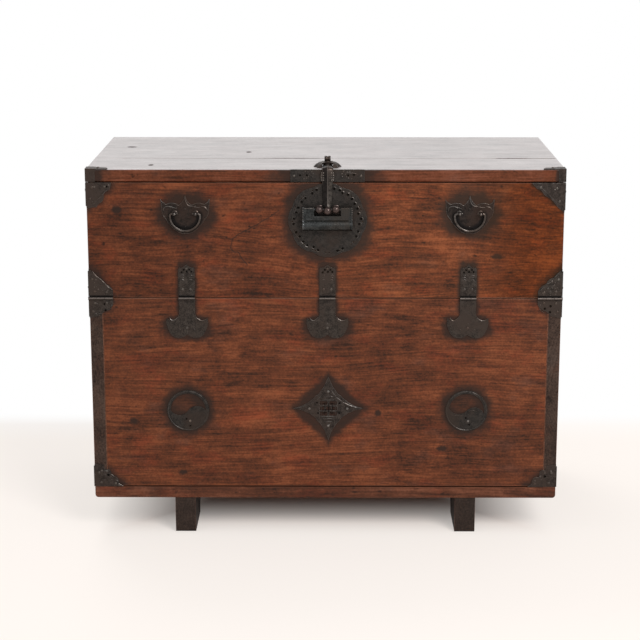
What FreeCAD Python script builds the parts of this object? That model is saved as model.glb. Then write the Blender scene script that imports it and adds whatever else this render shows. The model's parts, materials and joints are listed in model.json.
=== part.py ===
# Korean bandaji: a blanket chest of thick boards whose upper front is a flap
# that drops forward, held by blackened iron mounts.
# Millimetres, +Z up. The origin is on the floor under the middle of the whole
# chest with its ironwork. X runs to the right, Y from the front to the back.
import FreeCAD
import Part
import math
import os

# Carcass, from the floor up
chest_width = 910.0
chest_depth = 460.0
runner_height = 73.0
bottom_thickness = 22.0
bottom_rounding = 6.0
lower_front_height = 383.0
flap_height = 226.0
lid_thickness = 24.0

# Boards
side_thickness = 25.0
front_thickness = 22.0
flap_thickness = 20.0
back_thickness = 16.0
upper_back_height = 300.0
front_plank_depth = 143.0
plank_gap = 0.8
seam_gap = 1.6
shrink_gap = 2.4
rebate_gap = 0.3
flap_top_bevel = 2.2
lid_rounding = 3.0

# Runners
runner_width = 40.0
runner_spread = 554.0
runner_foot_length = 120.0
runner_web_height = 36.0
runner_set_back = 2.0
runner_rounding = 6.0

# Ironwork common to all
sheet = 1.5
nail_shank = 2.0
nail_length = 15.0
nail_head_radius = 2.9
nail_top_radius = 1.4
nail_head_height = 1.5
nail_gap = 0.1
nail_sides = 4
clench_thickness = 2.0
clench_length = 14.0
stem_gap = 0.1
round_sides = 12
forged_sides = 8
tube_sides = 20
knob_rings = 4
flat_turn = math.radians(18.0)
fine_turn = math.radians(12.0)
dome_rings = 3

# Flap hinges: rolled knuckles on a pin in front of the boards
pin_radius = 1.5
pin_play = 0.08
knuckle_wall = 1.8
knuckle_gap = 0.4
knuckle_relief = 3.4

# Strap hinges
strap_width = 31.0
strap_spread = 542.0
strap_upper_height = 66.0
strap_tip_height = 10.0
strap_lower_height = 79.0
strap_bell_width = 79.0

# Corner hinges and corner mounts
corner_hinge_width = 46.0
corner_hinge_upper = 58.0
corner_hinge_lower = 40.0
flap_corner_left_width = 48.0
flap_corner_left_height = 49.0
flap_corner_right_width = 63.0
flap_corner_right_height = 57.0
bottom_corner_width = 56.0
bottom_corner_height = 47.0
side_wrap = 34.0
flap_wrap_margin = 1.5
lid_corner_length = 45.0
lid_corner_depth = 25.0
lid_corner_left_front = 17.0
lid_corner_right_front = 12.0
mount_gap = 1.2

# Lock plate, lid edge plate and what stands on the middle line
lock_offset = 4.0
lock_plate_width = 152.0
lock_plate_height = 143.0
lock_plate_drop = 73.5
lock_plate_lobes = 8
lock_lobe_depth = 4.0
punch_radius = 1.8
punch_sides = 4
punch_margin = 9.0
punch_pitch = 6.0
edge_plate_width = 141.0

# Staples, padlock and hasp share the rod
rod_radius = 2.8
rod_play = 0.08
rod_drop = 51.0
rod_stand_off = 13.0
ball_radius = 7.2
ball_spread = 31.6
staple_stem_radius = 4.0
staple_collar_radius = 7.0
staple_collar_height = 1.5

# Padlock
padlock_length = 95.0
padlock_cap = 3.0
padlock_cap_gap = 0.2
padlock_plate_thickness = 10.0
padlock_top_rise = 4.2
padlock_tube_radius = 10.2
padlock_tube_drop = 30.5
padlock_bore_radius = 7.6
padlock_notch_width = 51.0
padlock_notch_drop = 11.8
padlock_cap_rim = 0.8
rod_engagement = 10.0
rod_end_gap = 2.0
tongue_width = 7.0
tongue_thickness = 2.4
tongue_length = 70.0
spring_thickness = 0.9
spring_length = 48.0
spring_spread = 2.2
bolt_travel = 48.0
key_hole_width = 3.0
key_hole_height = 8.0

# Hasp: an angular bar from the rod up and over the lid's edge
hasp_width = 18.0
hasp_edge = 2.4
hasp_ridge = 5.0
hasp_gap = 2.2
hasp_lid_gap = 1.2
hasp_bend = 3.0
hasp_reach = 24.0
hasp_ball_drop = 2.6
hasp_neck = 9.0

# Rosette and eye bolt on the lid
rosette_radius = 27.5
rosette_rise = 10.0
rosette_set_back = 36.0
rosette_petals = 8
petal_notch_radius = 4.4
rosette_slot_side = 1.5
eye_stem_radius = 4.0
eye_collar_radius = 7.5
eye_collar_height = 2.0
eye_radius = 5.4
eye_hole_radius = 2.4
eye_thickness = 12.0
eye_top = 21.0

# Bail handles
bail_spread = 542.0
bail_drop = 60.0
bail_post_spacing = 40.0
bail_rod_radius = 2.2
bail_sides = 6
bail_ring_steps = 14
bail_curl_steps = 3
bail_play = 0.08
bail_width = 62.0
bail_curl_radius = 4.6
bail_stand_off = 8.0
bail_end_margin = 1.6
post_eye_radius = 4.6
post_stem_radius = 2.8
post_head_radius = 3.9
post_head_gap = 6.6
bail_plate_width = 94.0
bail_plate_above = 34.0
bail_plate_below = 40.0

# Mounts of the lower front
diamond_width = 137.0
diamond_height = 129.0
diamond_rise = 162.0
diamond_offset = 6.0
fret_width = 34.0
fret_height = 30.0
fret_rows = 3
fret_bar = 3.2
taegeuk_radius = 41.5
taegeuk_rim = 7.0
taegeuk_spread = 544.0
taegeuk_offset = 4.0
taegeuk_rise = 157.5
taegeuk_turn = 8.0
taegeuk_nail_offset = 3.5

# Ornament outlines: (across, along, bow) as shares of each plate's width and
# height, run round with the metal on the left. A bow above 0 swells outwards,
# as a share of the chord to the next point.
corner_hinge_shares = [(0, 0, 0), (1, 0, 0), (1, 0.20, 0.10), (0.76, 0.42, -0.12),
                       (0.66, 0.48, 0.10), (0.42, 0.68, -0.12), (0.32, 0.74, 0),
                       (0.10, 0.92, 0), (0, 1, 0)]
hinge_lower_shares = [(0, 0, 0), (1, 0, 0), (1, 0.24, 0.12), (0.74, 0.58, -0.10), (0.56, 0.70, 0.12),
                      (0.22, 0.92, 0), (0, 1, 0)]
flap_corner_left_shares = [(0, 0, 0), (1, 0, 0), (0.94, 0.28, -0.12), (0.68, 0.46, 0.16),
                           (0.58, 0.78, -0.10), (0.40, 0.96, 0), (0, 1, 0)]
flap_corner_right_shares = [(0, 0, 0), (1, 0, 0), (0.84, 0.20, -0.10), (0.68, 0.30, 0.10),
                            (0.48, 0.50, -0.10), (0.38, 0.58, 0), (0.20, 0.82, 0), (0, 1, 0)]
bottom_corner_shares = [(0, 0, 0), (1, 0, 0), (0.86, 0.12, 0), (0.82, 0.32, 0.26),
                        (0.62, 0.40, -0.10), (0.58, 0.64, 0.26), (0.38, 0.70, -0.10),
                        (0.34, 0.94, 0), (0, 1, 0)]
side_leaf_shares = [(0, 0, 0), (0.86, 0, 0), (0.92, 0.20, 0), (0.80, 0.44, -0.08),
                    (0.36, 0.80, 0), (0, 0.92, 0)]
lid_corner_shares = [(0, 0, 0), (0.92, 0, 0.12), (0.80, 0.62, -0.10), (0.30, 1, 0), (0, 1, 0)]
strap_tip_shares = [(1, 0, 0), (0.86, 0.42, -0.12), (0.40, 0.52, 0), (0, 1, 0)]
strap_bell_shares = [(0, 0.915, 0.12), (0.50, 1, 0.14), (0.88, 0.84, 0.10), (1, 0.50, 0),
                     (0.80, 0.565, -0.24)]
strap_flare_share = 0.30
bail_plate_shares = [(0, -1, 0.12), (0.44, -0.80, 0), (0.72, -0.46, -0.06), (0.90, -0.14, 0.08),
                     (0.96, 0.24, 0), (1, 0.80, -0.10), (0.76, 0.50, 0.10), (0.50, 0.58, 0.08),
                     (0.26, 0.44, -0.10), (0, 1, 0)]
diamond_shares = [(0, -1, -0.05), (0.24, -0.46, 0.10), (0.36, -0.30, -0.08), (1, 0, -0.08),
                  (0.40, 0.34, 0.16), (0.29, 0.43, -0.05), (0, 1, 0)]
nail_corner_shares = [(0.16, 0.62), (0.24, 0.18), (0.74, 0.15)]
nail_side_shares = [(0.30, 0.30)]
diamond_nail_share = 0.54
strap_nail_shares = [(0, 0.88), (0.24, 0.27), (-0.24, 0.27)]
bell_nail_share = 0.745
edge_nail_share = 0.90
taegeuk_nail_share = 0.50
taegeuk_curl_share = 0.27
neck_share = 0.42
dome_crown_share = 0.24
quarter_bow_share = 0.2071
half_round_bow_share = 0.5

overrun = 5.0

# Levels and planes that follow from the sizes
level_bottom = runner_height
level_box = level_bottom + bottom_thickness
level_seam = level_box + lower_front_height
level_lid = level_seam + flap_height
level_top = level_lid + lid_thickness
half_width = chest_width / 2
proud = rod_stand_off + padlock_tube_radius + padlock_cap_rim
front = (proud - chest_depth) / 2
back = front + chest_depth
knuckle_radius = pin_radius + pin_play + knuckle_wall
pivot_y = front - knuckle_radius
rod_y = front - rod_stand_off
rod_z = level_lid - rod_drop
bail_y = front - bail_stand_off
bail_z = level_lid - bail_drop


def vec(x, y, z):
    return FreeCAD.Vector(x, y, z)


def block(x0, x1, y0, y1, z0, z1):
    return Part.makeBox(x1 - x0, y1 - y0, z1 - z0, vec(x0, y0, z0))


def polygon(radius, sides, height):
    steps = [2 * math.pi * (k + 0.5) / sides for k in range(sides + 1)]
    return Part.makePolygon([vec(radius * math.cos(a), radius * math.sin(a), height) for a in steps])


def prism(start, end, radius, sides):
    """A straight forged bar whose section is a regular polygon of the given corner radius."""
    run = end - start
    solid = Part.Face(polygon(radius, sides, 0)).extrude(vec(0, 0, run.Length))
    solid.Placement = FreeCAD.Placement(start, FreeCAD.Rotation(vec(0, 0, 1), run))
    return solid


def corner_radius(flat_radius, sides):
    """The corner radius of a polygon whose flats lie at a radius."""
    return flat_radius / math.cos(math.pi / sides)


def round_along_x(x0, x1, y, z, radius):
    """A turned pin, or the drilled bore for one."""
    return Part.makeCylinder(radius, x1 - x0, vec(x0, y, z), vec(1, 0, 0))


def roll_along_x(x0, x1, y, z, radius):
    return prism(vec(x0, y, z), vec(x1, y, z), radius, round_sides)


def bore_along_x(x0, x1, y, z, radius):
    """A forged bore whose flats clear the radius."""
    return roll_along_x(x0, x1, y, z, corner_radius(radius, round_sides))


def tube_along_x(x0, x1, y, z, radius):
    return prism(vec(x0, y, z), vec(x1, y, z), radius, tube_sides)


def stem(x, y0, y1, z, radius):
    """A stem along Y, from the front backwards."""
    return prism(vec(x, y0, z), vec(x, y1, z), radius, forged_sides)


def skinned(rings):
    """A solid with flat facets through rings of as many corners each, closed by its two ends."""
    faces = [Part.Face(Part.makePolygon(ring + ring[:1])) for ring in (rings[0], rings[-1])]
    for low, high in zip(rings, rings[1:]):
        for k, corner in enumerate(low):
            j = (k + 1) % len(low)
            faces.append(Part.Face(Part.makePolygon([corner, low[j], high[j], high[k], corner])))
    solid = Part.Solid(Part.Shell(faces))
    return solid if solid.Volume > 0 else solid.reversed()


def faceted(rings, sides):
    """A skinned solid of regular rings round Z, each a radius and a height, from below upwards."""
    wires = [polygon(radius, sides, height) for radius, height in rings]
    return skinned([[vertex.Point for vertex in wire.Vertexes][:sides] for wire in wires])


def knob(x, y, z, radius):
    """A forged ball: rings of facets along Y."""
    angles = [math.pi * (k + 0.5) / knob_rings for k in range(knob_rings)]
    ball = faceted([(radius * math.sin(a), -radius * math.cos(a)) for a in angles], forged_sides)
    ball.rotate(vec(0, 0, 0), vec(1, 0, 0), 90)
    return moved(ball, x, y, z)


def bowed(start, end, bow, most_turn):
    """The points of an arc from start to before end, in equal flats that each turn by at most an angle."""
    turn = 4 * math.atan(2 * bow)
    flats = max(1, math.ceil(abs(turn) / most_turn))
    chord = end - start
    outward = vec(chord.z, 0, -chord.x)
    points = []
    for k in range(flats):
        lean = turn * (k / flats - 0.5)
        reach = 0.5 + math.sin(lean) / (2 * math.sin(turn / 2)) if bow else 0
        rise = (math.cos(lean) - math.cos(turn / 2)) / (2 * math.sin(turn / 2)) if bow else 0
        points.append(start + chord * reach + outward * rise)
    return points


def profile(points, most_turn=flat_turn):
    """A closed wire in the XZ plane through (x, z, bow), with the metal or wood on the left."""
    places = [vec(x, 0, z) for x, z, bow in points]
    corners = []
    for i, (x, z, bow) in enumerate(points):
        corners += bowed(places[i], places[(i + 1) % len(places)], bow, most_turn)
    return Part.makePolygon(corners + corners[:1])


def outline(shares, across, along):
    """The profile of a table of shares of a width and a height."""
    return profile([(x * across, z * along, bow) for x, z, bow in shares])


def mirrored(half):
    """The whole outline from its right half, which runs from the middle line to the middle line."""
    left = [(-half[i][0], half[i][1], half[i - 1][2]) for i in range(len(half) - 1, 0, -1)]
    return half[:-1] + left


def plate(wire, thickness=sheet):
    """A sheet with its back on y = 0 and its face in front of it."""
    return Part.Face(wire).extrude(vec(0, -thickness, 0))


def side_on(shape):
    """Turn a shape a quarter round Z, so that its width runs from front to back."""
    copy = shape.copy()
    copy.rotate(vec(0, 0, 0), vec(0, 0, 1), 90)
    return copy


def flip_x(shape):
    return shape.mirror(vec(0, 0, 0), vec(1, 0, 0))


def flip_z(shape):
    return shape.mirror(vec(0, 0, 0), vec(0, 0, 1))


def moved(shape, x, y, z):
    copy = shape.copy()
    copy.translate(vec(x, y, z))
    return copy


def union(shapes):
    return shapes[0].multiFuse(shapes[1:]).removeSplitter()


# Nails: a spot is (x, y, z, facing), where facing points out of the wood.
FRONT = (0, -1, 0)
LEFT = (-1, 0, 0)
RIGHT = (1, 0, 0)
UP = (0, 0, 1)


def turned_to(shape, spot):
    """Set a shape that stands on +Z at a spot, pointing out along the spot's facing."""
    x, y, z, facing = spot
    copy = shape.copy()
    copy.Placement = FreeCAD.Placement(vec(x, y, z), FreeCAD.Rotation(vec(0, 0, 1), vec(*facing)))
    return copy


def nail(spot):
    """A forged nail: a square shank and a faceted head that seats on the sheet."""
    head = faceted([(nail_head_radius, sheet), (nail_top_radius, sheet + nail_head_height)], nail_sides)
    half = nail_shank / 2
    shank = block(-half, half, -half, half, sheet - nail_length, sheet)
    return turned_to(head.fuse(shank), spot)


def nail_hole(spot):
    half = nail_shank / 2 + nail_gap
    return turned_to(block(-half, half, -half, half, sheet - nail_length - nail_gap, sheet + overrun), spot)


def pierced(shape, spots):
    """Cut the shanks' holes of the nails that stand at the spots."""
    return shape.cut(Part.makeCompound([nail_hole(spot) for spot in spots]))


# Where the mounts stand
flap_wrap = flap_thickness - flap_wrap_margin
level_flap_top = level_lid - seam_gap
level_lower_leaf = level_seam - knuckle_relief
level_upper_leaf = level_seam + knuckle_relief
level_bottom_mount = level_box + mount_gap
hinge_upper_rise = corner_hinge_upper - knuckle_relief
hinge_lower_fall = corner_hinge_lower - knuckle_relief
strap_places = [lock_offset - strap_spread / 2, lock_offset, lock_offset + strap_spread / 2]
bail_places = [lock_offset - bail_spread / 2, lock_offset + bail_spread / 2]
taegeuk_places = [taegeuk_offset - taegeuk_spread / 2, taegeuk_offset + taegeuk_spread / 2]
diamond_z = level_box + diamond_rise
taegeuk_z = level_box + taegeuk_rise
lock_plate_z = level_lid - lock_plate_drop
staple_places = [lock_offset - ball_spread / 2, lock_offset + ball_spread / 2]
rosette_y = front + rosette_set_back
tube_z = rod_z - padlock_tube_drop
padlock_left = lock_offset - padlock_length / 2
padlock_right = lock_offset + padlock_length / 2


def outwards(side):
    return RIGHT if side > 0 else LEFT


def corner_spots(side, width, rise, level, wrap):
    """Nails of a corner mount: in its front leaf, and in the leaf that turns the corner."""
    spots = []
    for across, along in nail_corner_shares:
        spots.append((side * (half_width - across * width), front, level + along * rise, FRONT))
    for across, along in nail_side_shares:
        spots.append((side * half_width, front + across * wrap, level + along * rise, outwards(side)))
    return spots


def strap_spots(x):
    return [(x + across * strap_width, front, level_seam + along * strap_upper_height, FRONT)
            for across, along in strap_nail_shares]


def bell_spot(x):
    return (x, front, level_seam - bell_nail_share * strap_lower_height, FRONT)


def diamond_spots():
    dx = diamond_nail_share * diamond_width / 2
    dz = diamond_nail_share * diamond_height / 2
    tips = [(-dx, 0), (dx, 0), (0, -dz), (0, dz)]
    return [(diamond_offset + x, front, diamond_z + z, FRONT) for x, z in tips]


def taegeuk_spot(x):
    return (x + taegeuk_nail_offset, front, taegeuk_z - taegeuk_nail_share * taegeuk_radius, FRONT)


def edge_spots():
    reach = edge_nail_share * edge_plate_width / 2
    z = level_lid + lid_thickness / 2
    return [(lock_offset + side * reach, front, z, FRONT) for side in (-1, 1)]


def lid_corner_spots(side):
    x = side * (half_width - lid_corner_length / 2)
    end = side * half_width
    return [(x, front + lid_corner_depth / 2, level_top, UP),
            (end, front + lid_corner_depth / 2, level_lid + lid_thickness / 2, outwards(side))]


flap_spots = []
carcass_spots = diamond_spots() + edge_spots()
for side, flap_corner_width, flap_corner_height in [(-1, flap_corner_left_width, flap_corner_left_height),
                                                    (1, flap_corner_right_width, flap_corner_right_height)]:
    flap_spots += corner_spots(side, corner_hinge_width, hinge_upper_rise, level_upper_leaf, flap_wrap)
    flap_spots += corner_spots(side, flap_corner_width, -flap_corner_height, level_flap_top, flap_wrap)
    carcass_spots += corner_spots(side, corner_hinge_width, -hinge_lower_fall, level_lower_leaf, side_wrap)
    carcass_spots += corner_spots(side, bottom_corner_width, bottom_corner_height, level_bottom_mount,
                                  side_wrap)
    carcass_spots += lid_corner_spots(side)
for place in strap_places:
    flap_spots += strap_spots(place)
    carcass_spots.append(bell_spot(place))
for place in taegeuk_places:
    carcass_spots.append(taegeuk_spot(place))


# Boards
inside = half_width - side_thickness


def long_board(x0, x1, points):
    """A board along X from its profile in front-to-back and height."""
    return moved(side_on(plate(profile(points), x1 - x0)), x0, 0, 0)


def lid_plank(y0, y1, front_round, back_round):
    """A lid plank with its outer long edge eased, top and bottom."""
    r = lid_rounding
    q = quarter_bow_share
    points = [(y0, level_lid, 0)]
    if front_round:
        points = [(y0, level_top - r, 0), (y0, level_lid + r, q), (y0 + r, level_lid, 0)]
    if back_round:
        points += [(y1 - r, level_lid, q), (y1, level_lid + r, 0)]
        points += [(y1, level_top - r, q), (y1 - r, level_top, 0)]
    else:
        points += [(y1, level_lid, 0), (y1, level_top, 0)]
    points += [(y0 + r, level_top, q)] if front_round else [(y0, level_top, 0)]
    return long_board(-half_width, half_width, points)


def lid_front_plank():
    plank = lid_plank(front, front + front_plank_depth, True, False)
    return pierced(plank, carcass_spots).cut(eye_stem(level_lid - overrun, level_top + overrun, stem_gap))


def lid_rear_plank():
    return lid_plank(front + front_plank_depth + plank_gap, back, False, True)


def side_board(side):
    """A side, cut back above the seam so that the flap covers its edge."""
    ledge = level_seam - seam_gap / 2
    cut_back = front + flap_thickness + rebate_gap
    points = [(front, level_box, 0), (back, level_box, 0), (back, level_lid, 0),
              (cut_back, level_lid, 0), (cut_back, ledge, 0), (front, ledge, 0)]
    x0, x1 = (-half_width, -inside) if side < 0 else (inside, half_width)
    return pierced(long_board(x0, x1, points), carcass_spots)


def lower_front_board():
    z0 = level_box + shrink_gap
    z1 = level_seam - seam_gap / 2
    return pierced(block(-inside, inside, front, front + front_thickness, z0, z1), carcass_spots)


def back_boards():
    joint = level_lid - upper_back_height
    upper = block(-inside, inside, back - back_thickness, back, joint, level_lid)
    lower = block(-inside, inside, back - back_thickness, back, level_box, joint - plank_gap)
    return upper, lower


def bottom_board():
    r = bottom_rounding
    q = quarter_bow_share
    wire = profile([(r - half_width, level_bottom, 0), (half_width - r, level_bottom, q),
                    (half_width, level_bottom + r, 0), (half_width, level_box, 0),
                    (-half_width, level_box, 0), (-half_width, level_bottom + r, q)])
    return moved(plate(wire, chest_depth), 0, back, 0)


def runner(side):
    """A runner with a foot at each end and an arch between them."""
    length = chest_depth - 2 * runner_set_back
    arch = runner_height - runner_web_height
    foot = runner_foot_length
    r = runner_rounding
    q = quarter_bow_share
    points = [(r, 0, 0), (foot, 0, -q), (foot + arch, arch, 0), (length - foot - arch, arch, -q),
              (length - foot, 0, 0), (length - r, 0, q), (length, r, 0), (length, runner_height, 0),
              (0, runner_height, 0), (0, r, q)]
    x = side * runner_spread / 2 - runner_width / 2
    return moved(long_board(0, runner_width, points), x, front + runner_set_back, 0)


def flap_board():
    """The flap, its top edge bevelled towards the back so that it clears the lid as it drops."""
    z = level_seam + seam_gap / 2
    inner = front + flap_thickness
    points = [(front, z, 0), (inner, z, 0),
              (inner, level_flap_top - flap_top_bevel, 0), (front, level_flap_top, 0)]
    board = pierced(long_board(-half_width, half_width, points), flap_spots)
    holes = [stem_hole(x, rod_z, staple_stem_radius) for x in staple_places]
    for place in bail_places:
        holes += [stem_hole(x, bail_z, post_stem_radius) for x in post_places(place)]
    return board.cut(Part.makeCompound(holes))


def stem_hole(x, z, radius):
    """The hole of a stem through the flap and the plate on it."""
    return stem(x, front - sheet - overrun, front + flap_thickness + overrun, z, radius + stem_gap)


def post_places(place):
    return [place - bail_post_spacing / 2, place + bail_post_spacing / 2]


# Hinges


def knuckle(x0, x1, upper):
    """One rolled knuckle with the strip that joins it to its leaf."""
    z0, z1 = (level_seam, level_upper_leaf) if upper else (level_lower_leaf, level_seam)
    roll = roll_along_x(x0, x1, pivot_y, level_seam, knuckle_radius)
    strip = block(x0, x1, front - sheet, front, z0, z1)
    bore = bore_along_x(x0 - overrun, x1 + overrun, pivot_y, level_seam, pin_radius + pin_play)
    return roll.fuse(strip).cut(bore)


def knuckles(x0, x1, upper):
    """The upper leaf turns on the middle third of the pin, the lower leaf holds both ends."""
    third = (x1 - x0) / 3
    slack = knuckle_gap / 2
    if upper:
        return [knuckle(x0 + third + slack, x1 - third - slack, True)]
    return [knuckle(x0, x0 + third - slack, False), knuckle(x1 - third + slack, x1, False)]


def hinge_pin(x0, x1):
    return round_along_x(x0, x1, pivot_y, level_seam, pin_radius)


def strap_upper(x):
    """The upper strap leaf, which ends in a flame tip."""
    half = strap_width / 2
    shoulder = strap_upper_height - strap_tip_height
    right = [(0, knuckle_relief, 0), (half, knuckle_relief, 0)]
    right += [(across * half, shoulder + along * strap_tip_height, bow)
              for across, along, bow in strap_tip_shares]
    leaf = moved(plate(profile(mirrored(right))), x, front, level_seam)
    return pierced(union([leaf] + knuckles(x - half, x + half, True)), strap_spots(x))


def strap_lower(x):
    """The lower strap leaf, which spreads into a bell with two horns."""
    half = strap_width / 2
    bell = strap_bell_width / 2
    fall = -strap_lower_height
    right = [(across * bell, along * fall, bow) for across, along, bow in strap_bell_shares]
    right += [(half, strap_flare_share * fall, 0), (half, -knuckle_relief, 0), (0, -knuckle_relief, 0)]
    leaf = moved(plate(profile(mirrored(right))), x, front, level_seam)
    return pierced(union([leaf] + knuckles(x - half, x + half, False)), [bell_spot(x)])


def corner_leaf(shares, width, height, wrap):
    """A sheet bent round the left front corner, which stands at the origin, rising from z = 0."""
    face_leaf = plate(outline(shares, width, height))
    side_leaf = side_on(plate(outline(side_leaf_shares, wrap + sheet, height)))
    return union([face_leaf, moved(side_leaf, -sheet, -sheet, 0)])


def corner_at(leaf, side, level, downwards=False):
    leaf = flip_z(leaf) if downwards else leaf
    leaf = flip_x(leaf) if side > 0 else leaf
    return moved(leaf, side * half_width, front, level)


def corner_knuckle_span(side):
    ends = [side * (half_width + sheet), side * (half_width - corner_hinge_width)]
    return min(ends), max(ends)


def corner_hinge_upper_leaf(side):
    leaf = corner_leaf(corner_hinge_shares, corner_hinge_width, hinge_upper_rise, flap_wrap)
    rolls = knuckles(*corner_knuckle_span(side), True)
    return pierced(union([corner_at(leaf, side, level_upper_leaf)] + rolls), flap_spots)


def corner_hinge_lower_leaf(side):
    leaf = corner_leaf(hinge_lower_shares, corner_hinge_width, hinge_lower_fall, side_wrap)
    rolls = knuckles(*corner_knuckle_span(side), False)
    return pierced(union([corner_at(leaf, side, level_lower_leaf, True)] + rolls), carcass_spots)


# Mounts


def flap_corner_mount(side):
    if side < 0:
        leaf = corner_leaf(flap_corner_left_shares, flap_corner_left_width, flap_corner_left_height,
                           flap_wrap)
    else:
        leaf = corner_leaf(flap_corner_right_shares, flap_corner_right_width, flap_corner_right_height,
                           flap_wrap)
    return pierced(corner_at(leaf, side, level_flap_top, True), flap_spots)


def bottom_corner_mount(side):
    leaf = corner_leaf(bottom_corner_shares, bottom_corner_width, bottom_corner_height, side_wrap)
    return pierced(corner_at(leaf, side, level_bottom_mount), carcass_spots)


def lid_corner_mount(side, front_reach):
    """A sheet folded over a front corner of the lid: on its top, its end and a little of its front."""
    top = plate(outline(lid_corner_shares, lid_corner_length + sheet, lid_corner_depth + sheet))
    top.rotate(vec(0, 0, 0), vec(1, 0, 0), -90)
    corner = [moved(top, -sheet, -sheet, lid_thickness)]
    corner.append(block(-sheet, 0, -sheet, lid_corner_depth, 0, lid_thickness))
    corner.append(block(-sheet, front_reach, -sheet, 0, 0, lid_thickness))
    leaf = union(corner)
    leaf = flip_x(leaf) if side > 0 else leaf
    return pierced(moved(leaf, side * half_width, front, level_lid), carcass_spots)


def lid_edge_plate():
    half = edge_plate_width / 2
    cover = block(lock_offset - half, lock_offset + half, front - sheet, front, level_lid, level_top)
    return pierced(cover, carcass_spots)


def lock_plate():
    """A lobed plate, nearly round, with pairs of punched holes along its rim."""
    half = math.pi / lock_plate_lobes
    valley = 1 - 2 * lock_lobe_depth / lock_plate_width
    swell = (1 - valley * math.cos(half)) / (2 * valley * math.sin(half))
    points = []
    for k in range(lock_plate_lobes):
        angle = (2 * k + 1) * half
        points.append((valley * math.cos(angle), valley * math.sin(angle), swell))
    sheet_plate = moved(plate(outline(points, lock_plate_width / 2, lock_plate_height / 2)),
                        lock_offset, front, lock_plate_z)
    holes = [stem_hole(x, rod_z, staple_stem_radius) for x in staple_places]
    across = lock_plate_width / 2 - punch_margin
    along = lock_plate_height / 2 - punch_margin
    for k in range(2 * lock_plate_lobes):
        for step in (-1, 1):
            angle = k * half + step * punch_pitch / (2 * across)
            x = lock_offset + across * math.cos(angle)
            z = lock_plate_z + along * math.sin(angle)
            start = vec(x, front - sheet - overrun, z)
            holes.append(prism(start, vec(x, front + overrun, z), punch_radius, punch_sides))
    return sheet_plate.cut(Part.makeCompound(holes))


def bail_plate(place):
    """A bat-shaped plate under a bail."""
    half = bail_plate_width / 2
    right = [(x * half, z * (bail_plate_above if z > 0 else bail_plate_below), bow)
             for x, z, bow in bail_plate_shares]
    sheet_plate = moved(plate(profile(mirrored(right))), place, front, bail_z)
    holes = [stem_hole(x, bail_z, post_stem_radius) for x in post_places(place)]
    return sheet_plate.cut(Part.makeCompound(holes))


def diamond_mount():
    """A four-pointed mount with a lattice pierced through its middle."""
    wire = outline(mirrored(diamond_shares), diamond_width / 2, diamond_height / 2)
    cell_height = (fret_height - (fret_rows - 1) * fret_bar) / fret_rows
    cells = []
    for row in range(fret_rows):
        z = row * (cell_height + fret_bar) - fret_height / 2
        count = 2 + row % 2
        cell_width = (fret_width - (count - 1) * fret_bar) / count
        for k in range(count):
            x = k * (cell_width + fret_bar) - fret_width / 2
            cells.append(block(x, x + cell_width, -sheet - overrun, overrun, z, z + cell_height))
    mount = plate(wire).cut(Part.makeCompound(cells))
    return pierced(moved(mount, diamond_offset, front, diamond_z), carcass_spots)


def taegeuk_mount(place, turn):
    """A round mount cut by an S curve: the upper half is open inside a thin rim."""
    r = taegeuk_radius
    h = half_round_bow_share
    disc = plate(profile([(r, 0, h), (-r, 0, h)], fine_turn))
    r = taegeuk_radius - taegeuk_rim
    right = vec(r, 0, 0)
    left = vec(-r, 0, 0)
    middle = vec(0, 0, 0)
    rim = bowed(right, left, h, fine_turn)
    curl = bowed(left, middle, taegeuk_curl_share, flat_turn)
    curl += bowed(middle, right, -taegeuk_curl_share, flat_turn)
    opening = plate(Part.makePolygon(rim + curl + rim[:1]), sheet + 2 * overrun)
    mount = disc.cut(moved(opening, 0, overrun, 0))
    mount.rotate(vec(0, 0, 0), vec(0, 1, 0), turn)
    return pierced(moved(mount, place, front, taegeuk_z), [taegeuk_spot(place)])


# The middle line: rosette, eye bolt, staples, hasp and padlock


def dome(radius, rise):
    """A faceted dome that stands on z = 0."""
    angles = [k * math.pi / (2 * dome_rings) for k in range(dome_rings)]
    rings = [(radius * math.cos(angle), rise * math.sin(angle)) for angle in angles]
    return faceted(rings + [(radius * dome_crown_share, rise)], 2 * rosette_petals)


def rosette():
    """A domed flower washer with notched petals, slotted in front where the hasp's end runs in."""
    through = vec(0, 0, rosette_rise + overrun)
    cuts = [dome(rosette_radius - sheet, rosette_rise - sheet),
            prism(vec(0, 0, 0), through, eye_stem_radius + stem_gap, forged_sides)]
    for k in range(rosette_petals):
        angle = (2 * k + 1) * math.pi / rosette_petals
        spot = vec(rosette_radius * math.cos(angle), rosette_radius * math.sin(angle), 0)
        cuts.append(prism(spot, spot + through, petal_notch_radius, forged_sides))
    slot = hasp_width / 2 + rosette_slot_side
    inner_end = hasp_reach - rosette_set_back + rosette_slot_side
    cuts.append(block(-slot, slot, -rosette_radius - overrun, inner_end, 0, rosette_rise + overrun))
    shell = dome(rosette_radius, rosette_rise)
    for cut in cuts:
        shell = shell.cut(cut)
    return moved(shell, lock_offset, rosette_y, level_top)


def clench(x, y, z, facing, thickness, radius):
    """The flat tail of a stem, bent over behind a board of the given thickness."""
    tail = block(-radius, radius, -radius, clench_length, -thickness - clench_thickness, -thickness)
    return turned_to(tail, (x, y, z, facing))


def eye_stem(z0, z1, gap):
    """The eye bolt's stem, or with a gap its hole."""
    low = vec(lock_offset, rosette_y, z0)
    high = vec(lock_offset, rosette_y, z1)
    return prism(low, high, eye_stem_radius + gap, forged_sides)


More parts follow.
